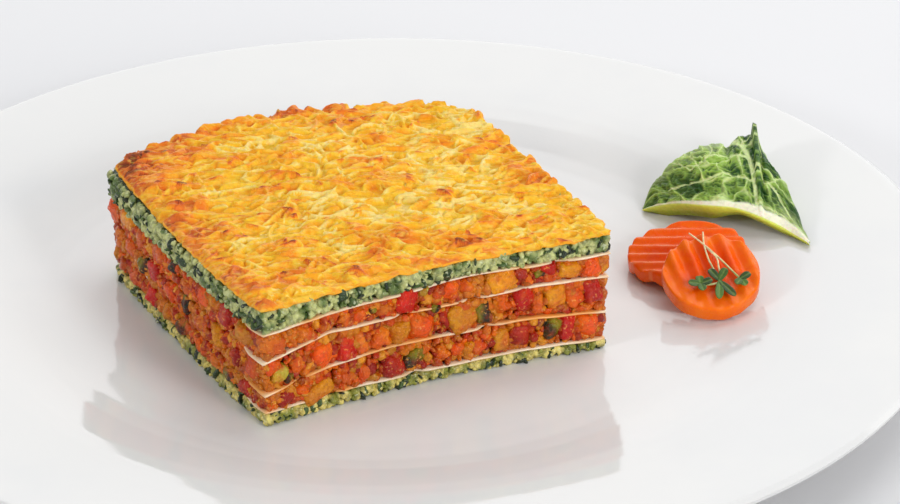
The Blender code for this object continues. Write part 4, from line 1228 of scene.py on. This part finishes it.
# floor, light and camera
studioValues = {
    "world": 0.46, "worldColour": (0.98, 0.99, 1.0), "floor": (230, 230, 232), "floorReach": 4.0,
    "target": (0, 0, 0.02),  # in metres, as the places below
    "lights": {  # place, size, power, colour
        "backPanel": ((0.35, 1.1, 0.6), (2.5, 0.8), 9.6, (1, 1, 1)),
        "topPanel": ((0.4, 0.45, 1.4), (1.0, 0.7), 4.8, (1, 1, 1)),
        "keyPanel": ((0.8, -0.85, 0.45), (0.5, 0.4), 4.9, (1.0, 0.98, 0.95)),
        "rightSpark": ((0.9, -1.1, 0.85), (0.22, 0.22), 3.4, (1, 1, 1)),
        "leftSpark": ((-1.0, -0.7, 0.65), (0.22, 0.22), 3.4, (1, 1, 1)),
        "leftPanel": ((-1.1, -0.4, 0.6), (0.6, 0.5), 0.3, (1, 1, 1)),
    },
}
cameraValues = {  # metres above the plate's well, millimetres of lens, degrees of roll
    "place": (0.0184, -1.07158, 0.56539), "target": (0.0184, -0.00428, 0.015),
    "lens": 182.84, "sensor": 36.0, "roll": -0.4536,
}


def makeArea(name, place, size, power, colour):  # a soft panel that faces the plate
    light = bpy.data.lights.new(name, "AREA")
    light.shape = "RECTANGLE"
    light.size, light.size_y = size
    light.energy = power
    light.color = colour
    lamp = bpy.data.objects.new(name, light)
    away = Vector(studioValues["target"]) - Vector(place)
    lamp.matrix_world = Matrix.Translation(place) @ away.to_track_quat("-Z", "Y").to_matrix().to_4x4()
    bpy.context.scene.collection.objects.link(lamp)


def makeStudio():  # a plain table top, an even pale world and the panels
    mesh = bpy.data.meshes.new("tableTop")
    reach = studioValues["floorReach"]
    mesh.from_pydata([(-reach, -reach, 0), (reach, -reach, 0), (reach, reach, 0), (-reach, reach, 0)], [],
                     [(0, 1, 2, 3)])
    table = bpy.data.objects.new("tableTop", mesh)
    bpy.context.scene.collection.objects.link(table)
    white, _, shader = newMaterial("tableWhite", 0.6)
    shader.inputs["Base Color"].default_value = (*paint(*studioValues["floor"]), 1)
    mesh.materials.append(white)
    world = bpy.data.worlds.new("studio")
    world.use_nodes = True
    sky = world.node_tree.nodes["Background"]
    sky.inputs["Color"].default_value = (*studioValues["worldColour"], 1)
    sky.inputs["Strength"].default_value = studioValues["world"]
    bpy.context.scene.world = world
    for name, light in studioValues["lights"].items():
        makeArea(name, *light)


def makeCamera():  # looks from its place at its target, rolled a little
    c = cameraValues
    lens = bpy.data.cameras.new("photoCamera")
    lens.sensor_width = c["sensor"]
    lens.lens = c["lens"]
    lens.clip_start = 0.01
    camera = bpy.data.objects.new("photoCamera", lens)
    floorUp = Vector((0, 0, wellFloor * mm))
    place, target = Vector(c["place"]) + floorUp, Vector(c["target"]) + floorUp
    aim = (target - place).to_track_quat("-Z", "Y").to_matrix().to_4x4()
    camera.matrix_world = Matrix.Translation(place) @ aim @ Matrix.Rotation(math.radians(c["roll"]), 4, "Z")
    bpy.context.scene.collection.objects.link(camera)
    bpy.context.scene.camera = camera


makeStudio()
makeCamera()
bpy.context.scene.view_settings.view_transform = "Standard"
bpy.context.view_layer.update()
print("studio set")
